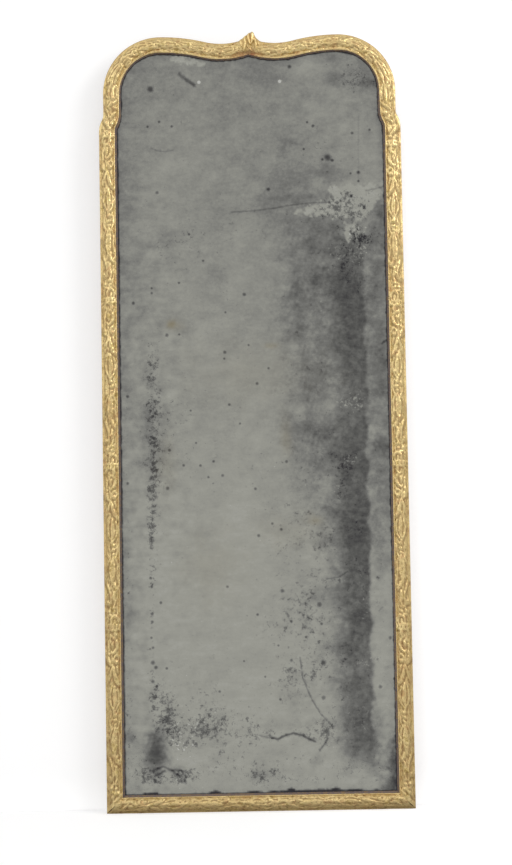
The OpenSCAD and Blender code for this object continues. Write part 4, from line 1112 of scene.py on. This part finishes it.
# The centre leaf: its outline and its ribs, as (x, z), with half-widths, height and groove.
LEAF_OUTLINE = [
    (-34, 1562.6), (-24, 1565.6), (-16, 1570), (-9, 1575.2), (-2, 1580.5), (3, 1584), (7.6, 1585.6),
    (11, 1583.4), (13, 1579), (16.4, 1573.6), (24, 1567), (33, 1562.8), (28, 1556), (20, 1548), (14, 1543),
    (6, 1540.5), (0, 1539.6), (-6, 1540.5), (-14, 1543), (-20, 1548), (-28, 1556),
]
LEAF_RIBS = [
    ([(8, 1586), (9.2, 1578), (8, 1568), (5, 1560)], [1.6, 3.9, 3.7, 1.8], 4.6, 0.8),
    ([(1.4, 1583.6), (-0.4, 1577), (1, 1567), (2.6, 1560)], [1.6, 3.0, 2.8, 1.4], 3.6, 0.5),
    ([(-6, 1578), (-8, 1572), (-6.4, 1563), (-8, 1553), (-10, 1546)],
     [1.6, 3.0, 2.9, 2.8, 2.2], 3.4, 0.5),
    ([(-15.6, 1571.4), (-16, 1564), (-14, 1556)], [2.0, 3.2, 1.6], 2.4, 0.4),
    ([(13.4, 1576), (14, 1569), (15, 1558), (15.6, 1549)], [1.6, 2.6, 2.9, 2.4], 3.2, 0.5),
    ([(21, 1567.6), (20.6, 1562), (21, 1555)], [1.4, 2.2, 1.3], 1.8),
    ([(-3.6, 1556), (1.4, 1550.4), (6.6, 1545.4)], [1.3, 1.9, 1.4], 2.6),
    ([(7.8, 1555.6), (3, 1550.4), (-2.4, 1545.4)], [1.3, 1.9, 1.4], 2.6),
]
LEAF_BACK = 12.0
LEAF_FRONT = 33.6


def centre_leaf():
    """The pointed leaf in the middle of the crest, with its ribs: a solid with a flat back."""
    rim = smooth_path(LEAF_OUTLINE + LEAF_OUTLINE[:1], 6)[0][:-1]
    closed = rim.tolist() + rim[:1].tolist()
    x, z = np.meshgrid(np.arange(-34, 34, 0.7), np.arange(1538, 1587, 0.7))
    x, z = x.ravel(), z.ravel()
    deep = inside_outline(rim.tolist(), x, z) & (line_distance(closed, x, z) > 0.5)
    flat, faces, loop = filled(rim, np.concatenate([rim, np.stack([x[deep], z[deep]], 1)]))
    x, z = flat[:, 0], flat[:, 1]
    relief = Relief(x, z)
    for rib in LEAF_RIBS:
        relief.stroke(*rib)
    round_off = 5.6 * np.clip(line_distance(closed, x, z) / 9, 0, 1) ** 0.6
    base = 23.0 + round_off + 0.06 * np.clip(z - 1560, 0, 20)
    front = np.minimum(base + relief.h, LEAF_FRONT)
    m, n = len(flat), len(rim)
    verts = np.concatenate([np.stack([x, -front, z], 1),
                            np.stack([rim[:, 0], np.full(n, -LEAF_BACK), rim[:, 1]], 1)]) / 1000
    faces += backed(m, n, loop)
    rise = np.concatenate([np.clip(relief.h / 2.5, 0, 1), np.zeros(n)])
    worn = np.concatenate([np.exp(-((z - 1541) / 5) ** 2), np.zeros(n)])
    # The low parts of the leaf are darkened like the hollows, with dirt and painted shade.
    marks = (("rise", rise), ("hollow", 0.5 * (1 - rise)), ("worn", worn))
    return new_object("crest_leaf_carved", verts, faces, marks)


class PIERMIRROR_OT_crest(bpy.types.Operator):
    """Carve the centre leaf and its block"""
    bl_idname = "pier_mirror.crest"
    bl_label = "Centre leaf"

    def execute(self, context):
        halves = [sweep(f"crest_block_{hand}", SIDE_LINE, waist_cut(LEAF_HALF), waist_cut(0.0), mirrored,
                        repeats_on(hand), seed)
                  for hand, mirrored, seed in (("left", True, 70), ("right", False, 80))]
        leaf = centre_leaf()
        for obj in halves:
            dress(obj, *gilt_set("X"))
        dress(leaf, gilt_set()[0])
        for obj in halves + [leaf]:
            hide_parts("crest_leaf")
        return {"FINISHED"}


def backed(first, count, rim):
    """The back of a flat piece, whose points start at first, and its faces to the rim of the front."""
    after = [*range(1, count), 0]
    sides = [[rim[i], first + i, first + k, rim[k]] for i, k in enumerate(after)]
    return [list(range(first, first + count))[::-1]] + sides


def filled(outline, field):
    """Triangles over points that start with an outline: points, faces, and the outline's own points."""
    n = len(outline)
    edges = [(i, (i + 1) % n) for i in range(n)]
    made = geometry.delaunay_2d_cdt([Vector(p) for p in field.tolist()], edges, [], 1, 1e-5)
    where = {source: k for k, sources in enumerate(made[3]) for source in sources}
    flat = np.array([[p.x, p.y] for p in made[0]])
    return flat, [list(face) for face in made[2]], [where[i] for i in range(n)]


def inner_edge(reach):
    """The closed outline that runs the given distance inside the moulding's centre line."""
    u = np.linspace(0, waist_cut(0.0)(np.array([HALF_RAIL + reach]))[0], 700)
    point, normal = along(SIDE_LINE, u)
    edge = point - reach * normal
    edge = edge[edge[:, 1] > HALF_RAIL + reach + 1]
    edge = np.vstack([[STILE_X - reach, HALF_RAIL + reach], edge])
    edge[-1, 0] = 0.0
    return np.vstack([edge, (edge * [-1, 1])[-2::-1]])


# How far inside the moulding's centre line the rim of the plate lies, and the outermost points within it.
PLATE_REACH = 10.75
POINTS_REACH = 12.2


def plate_points():
    """Points all over the plate, closer together where a mark is small."""
    rng = np.random.default_rng(5)
    pitch = 3.5
    x, z = np.meshgrid(np.arange(-280, 281, pitch), np.arange(30, 1570, pitch * 0.87))
    x = x + pitch / 2 * (np.arange(len(x))[:, None] % 2)
    parts = [np.stack([x.ravel(), z.ravel()], 1) + rng.uniform(-0.5, 0.5, (x.size, 2))]
    turn = np.arange(8) * math.pi / 4
    for cx, cz, r in DOTS + PINHOLES:
        for reach in (0.0, 0.75, 1.7):
            ring = turn[:1] if reach == 0 else turn
            parts.append(np.stack([cx + r * reach * np.cos(ring), cz + r * reach * np.sin(ring)], 1))
    for points, width, _ in LINES:
        line, _ = smooth_path(points, 12)
        for dx, dz in ((-1.2, 0), (0, 0), (1.2, 0), (0, -1.2), (0, 1.2)):
            parts.append(line + rng.uniform(-0.1, 0.1, line.shape) + [dx * width, dz * width])
    for reach in (0.9, 2.6, 4.6):
        rim = inner_edge(HALF_RAIL + reach)
        gap = np.linalg.norm(np.diff(rim, axis=0), axis=1)
        run = np.concatenate([[0], np.cumsum(gap)])
        at = np.arange(0, run[-1], 2.4)
        parts.append(np.stack([np.interp(at, run, rim[:, 0]), np.interp(at, run, rim[:, 1])], 1))
    every = np.concatenate(parts)
    x, z = every[:, 0], every[:, 1]
    inner = (abs(x) < STILE_X - POINTS_REACH) & (z > HALF_RAIL + POINTS_REACH)
    return every[inner & ((z < 1370) | inside_outline(inner_edge(POINTS_REACH).tolist(), x, z))]


def way_to_frame(points, sight):
    """How far each point lies from the frame's inner edge on each side, below nothing beneath the rebate."""
    x, z = points[:, 0], points[:, 1]
    top = np.full(len(points), 500.0)
    rim = sight[sight[:, 1] > 1350]
    high = np.nonzero(z > 1340)[0]
    for batch in np.array_split(high, 40):
        gaps = np.hypot(x[batch, None] - rim[None, :, 0], z[batch, None] - rim[None, :, 1])
        within = inside_outline(sight.tolist(), x[batch], z[batch])
        top[batch] = gaps.min(axis=1) * np.where(within, 1, -1)
    half = STILE_X - HALF_RAIL
    return {"left": x + half, "right": half - x, "foot": z - 2 * HALF_RAIL, "top": top}


class PIERMIRROR_OT_plate(bpy.types.Operator):
    """Make the old mirror plate, with the marks in its silvering kept on the points of its face"""
    bl_idname = "pier_mirror.plate"
    bl_label = "Mirror plate"

    def execute(self, context):
        outline = inner_edge(PLATE_REACH)
        sight = inner_edge(HALF_RAIL)
        n = len(outline)
        flat, faces, rim = filled(outline, np.concatenate([outline, plate_points()]))
        front = np.stack([flat[:, 0], np.full(len(flat), -GLASS_FRONT), flat[:, 1]], 1)
        back = np.stack([outline[:, 0], np.full(n, -GLASS_BACK), outline[:, 1]], 1)
        faces += backed(len(flat), n, rim)
        marks = plate_marks(flat[:, 0], flat[:, 1], way_to_frame(flat, sight))
        marks = [(key, np.concatenate([values, np.zeros(n)])) for key, values in marks]
        plate = new_object("mirror_plate_foxed", np.vstack([front, back]) / 1000, faces, marks)
        dress(plate, finish_of("plate_glass_tin_silvered", foxed_mirror))
        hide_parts("mirror_plate", "silvering")
        return {"FINISHED"}


class PIERMIRROR_OT_back(bpy.types.Operator):
    """Finish the boards, blocks, joinery, nails and hangers"""
    bl_idname = "pier_mirror.back"
    bl_label = "Back and hangers"

    def execute(self, context):
        board = finish_of("pine_board_planed", old_pine,
                          "pine_board_planed", "X", "C79D68", "A07849", 1.3, True)
        block = finish_of("pine_block_sawn", old_pine, "pine_block_sawn", "Z", "CDA673", "A8804F", 2.6)
        for name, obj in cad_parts.items():
            if name.endswith("backboard"):
                coat = board
            elif "blocks" in name:
                coat = block
            elif name in ("mitre_keys", "loose_tongues"):
                coat = finish_of("beech_split", beech_wood)
            elif "hanger" in name:
                coat = finish_of("brass_stamped_tarnished", old_brass)
            elif name == "backboard_nails":
                coat = finish_of("iron_nail_rusted", rusty_iron)
            else:
                continue
            for slot in obj.material_slots:
                slot.material = coat
        return {"FINISHED"}


class PIERMIRROR_OT_stage(bpy.types.Operator):
    """Set the floor, the wall, the lights, the world and the camera"""
    bl_idname = "pier_mirror.stage"
    bl_label = "Stage and camera"

    def execute(self, context):
        setting = context.scene.mirror_stage
        set_backdrop(setting)
        set_lights(setting)
        set_camera(context.scene)
        return {"FINISHED"}


# How bright the room in front of the mirror is, as the plate shows it.
ROOM_GREY = 0.58
# The large soft boxes above the mirror: which way each lies, and its power.
SOFT_BOXES = (((0.70, -0.56, 0.44), 0.26), ((-0.66, -0.58, 0.48), 1.06))
# The key light and the camera, in metres, as fitted to the photograph. The camera leans a little.
KEY_PLACE = (2.3, -1.9, 2.6)
KEY_TARGET = (0.0, 0.0, 0.9)
KEY_SIZE = (1.1, 1.6)
CAMERA_PLACE = (0.0, -3.3345, 0.572)
CAMERA_TARGET = (0.0021, 0.0, 0.76216)
CAMERA_ROLL = -0.01723
SENSOR_MM = 36.0
LENS_MM = 68.04


def plane(name, corners):
    mesh = bpy.data.meshes.new(name)
    mesh.from_pydata(corners, [], [[0, 1, 2, 3]])
    obj = bpy.data.objects.new(name, mesh)
    bpy.context.scene.collection.objects.link(obj)
    obj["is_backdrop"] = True
    return obj


def paper(name, albedo, glow, see_through):
    """Matt white paper, which the camera sees lifted to white with some painted light, and the mirror as a
    grey room with a painted shadow by the mirror.
    """
    material = bpy.data.materials.new(name)
    material.use_nodes = True
    tree = material.node_tree
    tree.nodes.remove(tree.nodes["Principled BSDF"])
    add = partial(node, tree)
    camera, glossy = [add("LightPath", out=f"Is {ray} Ray") for ray in ("Camera", "Glossy")]
    x, y, z = [add("SeparateXYZ", add("TexCoord", out="Object"), out=axis) for axis in "XYZ"]
    tint = add("Mix", camera, (albedo, albedo, albedo, 1), (0.62, 0.62, 0.62, 1), **COLOURS)
    # Painted light: the camera sees the paper whiter on the right, the side that the light comes from.
    lift = add("ValToRGB", x, stops=((0.0, glow), (0.3, glow + 0.08)))
    # Painted light: the camera sees the foot of the wall lifted, as if the floor threw light back onto it.
    lift = add("Math add", lift, add("ValToRGB", z, stops=((0.0, 0.0), (0.003, 0.08), (0.07, 0.0))))
    shine = add("Emission", Strength=add("Math multiply", camera, lift))
    whole = add("AddShader", add("BsdfDiffuse", Color=tint), shine)
    # Painted shadow: glossy rays see the paper as the grey room, darker within about 0.2 m in front of the
    # mirror.
    grey = add("ValToRGB", add("Math multiply", y, -1.0), stops=((0.08, 0.24), (0.21, ROOM_GREY)))
    whole = add("MixShader", glossy, whole, add("Emission", Color=grey))
    if see_through:
        whole = add("MixShader", add("NewGeometry", out="Backfacing"), whole, add("BsdfTransparent"))
    feed(tree.nodes["Material Output"], Surface=whole)
    return material


def set_backdrop(setting):
    half, gap = setting.floor_size / 2, setting.wall_gap
    floor = plane("floor", [(-half, -half, 0), (half, -half, 0), (half, half, 0), (-half, half, 0)])
    floor.data.materials.append(paper("paper_floor_white", 0.72, 0.50, False))
    wall = plane("wall", [(-half, gap, 0), (half, gap, 0), (half, gap, half), (-half, gap, half)])
    wall.data.materials.append(paper("paper_wall_white", 0.8, 0.475, True))
    for kind in ("diffuse", "glossy", "transmission", "shadow", "volume_scatter"):
        setattr(wall, "visible_" + kind, False)


def set_lights(setting):
    world = bpy.data.worlds.new("studio")
    bpy.context.scene.world = world
    world.use_nodes = True
    add = partial(node, world.node_tree)
    direction = add("TexCoord", out="Generated")
    # The room in front of the mirror is mid-grey, with large soft boxes above it on both sides.
    height = add("Math add", add("Math multiply", add("SeparateXYZ", direction, out="Z"), 0.5), 0.5)
    room = add("ValToRGB", height, stops=((0.20, 0.26), (0.50, 0.42), (0.8, 0.48)))
    for way, power in SOFT_BOXES:
        nearness = add("VectorMath dot_product", direction, way, out="Value")
        box = add("ValToRGB", nearness, stops=((0.74, 0.0), (0.90, 1.0)))
        room = add("Math add", room, add("Math multiply", box, power))
    towards = add("Math subtract", 0.0, add("SeparateXYZ", direction, out="Y"))
    ahead = add("ValToRGB", towards, stops=((0.88, 0.0), (0.95, 1.0)))
    room = add("Mix", ahead, room, (ROOM_GREY, ROOM_GREY, ROOM_GREY, 1), **COLOURS)
    seen = add("Mix", add("LightPath", out="Is Camera Ray"), room, (1, 1, 1, 1), **COLOURS)
    feed(world.node_tree.nodes["Background"], Color=seen, Strength=1.0)
    lamp = bpy.data.lights.new("key", "AREA")
    lamp.shape = "RECTANGLE"
    lamp.size, lamp.size_y = KEY_SIZE
    lamp.energy = setting.key_power
    key = bpy.data.objects.new("key", lamp)
    bpy.context.scene.collection.objects.link(key)
    aim_at(key, Vector(KEY_PLACE), Vector(KEY_TARGET))


def aim_at(obj, place, target, roll=0.0):
    back = (place - target).normalized()
    right = Vector((0, 0, 1)).cross(back).normalized()
    up = back.cross(right)
    leaning = right * math.cos(roll) + up * math.sin(roll)
    upright = up * math.cos(roll) - right * math.sin(roll)
    turn = Matrix((leaning, upright, back)).transposed().to_4x4()
    obj.matrix_world = Matrix.Translation(place) @ turn


def set_camera(scene):
    lens = bpy.data.cameras.new("camera")
    lens.sensor_fit = "VERTICAL"
    lens.sensor_height = SENSOR_MM
    lens.lens = LENS_MM
    lens.clip_end = 100.0
    camera = bpy.data.objects.new("camera", lens)
    scene.collection.objects.link(camera)
    aim_at(camera, Vector(CAMERA_PLACE), Vector(CAMERA_TARGET), CAMERA_ROLL)
    scene.camera = camera
    scene.view_settings.view_transform = "Standard"


class PIERMIRROR_PT_panel(bpy.types.Panel):
    """The steps that make the pier mirror, and its main settings"""
    bl_label = "Pier Mirror"
    bl_idname = "PIERMIRROR_PT_panel"
    bl_space_type = "VIEW_3D"
    bl_region_type = "UI"
    bl_category = "Pier Mirror"

    def draw(self, context):
        for group in ("mirror_carving", "mirror_finish", "mirror_stage"):
            box = self.layout.box()
            settings = getattr(context.scene, group)
            for name in settings.bl_rna.properties.keys():
                if name not in ("rna_type", "name"):
                    box.prop(settings, name)
        for step in OPERATORS:
            self.layout.operator(step.bl_idname)


OPERATORS = (PIERMIRROR_OT_foot, PIERMIRROR_OT_sides, PIERMIRROR_OT_crest, PIERMIRROR_OT_plate,
             PIERMIRROR_OT_back, PIERMIRROR_OT_stage)
GROUPS = (("mirror_carving", CarvingSettings), ("mirror_finish", FinishSettings),
          ("mirror_stage", StageSettings))


def register():
    for name, group in GROUPS:
        bpy.utils.register_class(group)
        setattr(bpy.types.Scene, name, bpy.props.PointerProperty(type=group))
    for step in OPERATORS:
        bpy.utils.register_class(step)
    bpy.utils.register_class(PIERMIRROR_PT_panel)


def unregister():
    bpy.utils.unregister_class(PIERMIRROR_PT_panel)
    for step in reversed(OPERATORS):
        bpy.utils.unregister_class(step)
    for name, group in reversed(GROUPS):
        delattr(bpy.types.Scene, name)
        bpy.utils.unregister_class(group)


def main():
    register()
    for step in OPERATORS:
        area, name = step.bl_idname.split(".")
        getattr(getattr(bpy.ops, area), name)()
    as_list = lambda box: [[float(v) for v in corner] for corner in box]
    {"cad": as_list(CAD_BOX), "visual": as_list(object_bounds())}


if __name__ == "__main__":
    main()
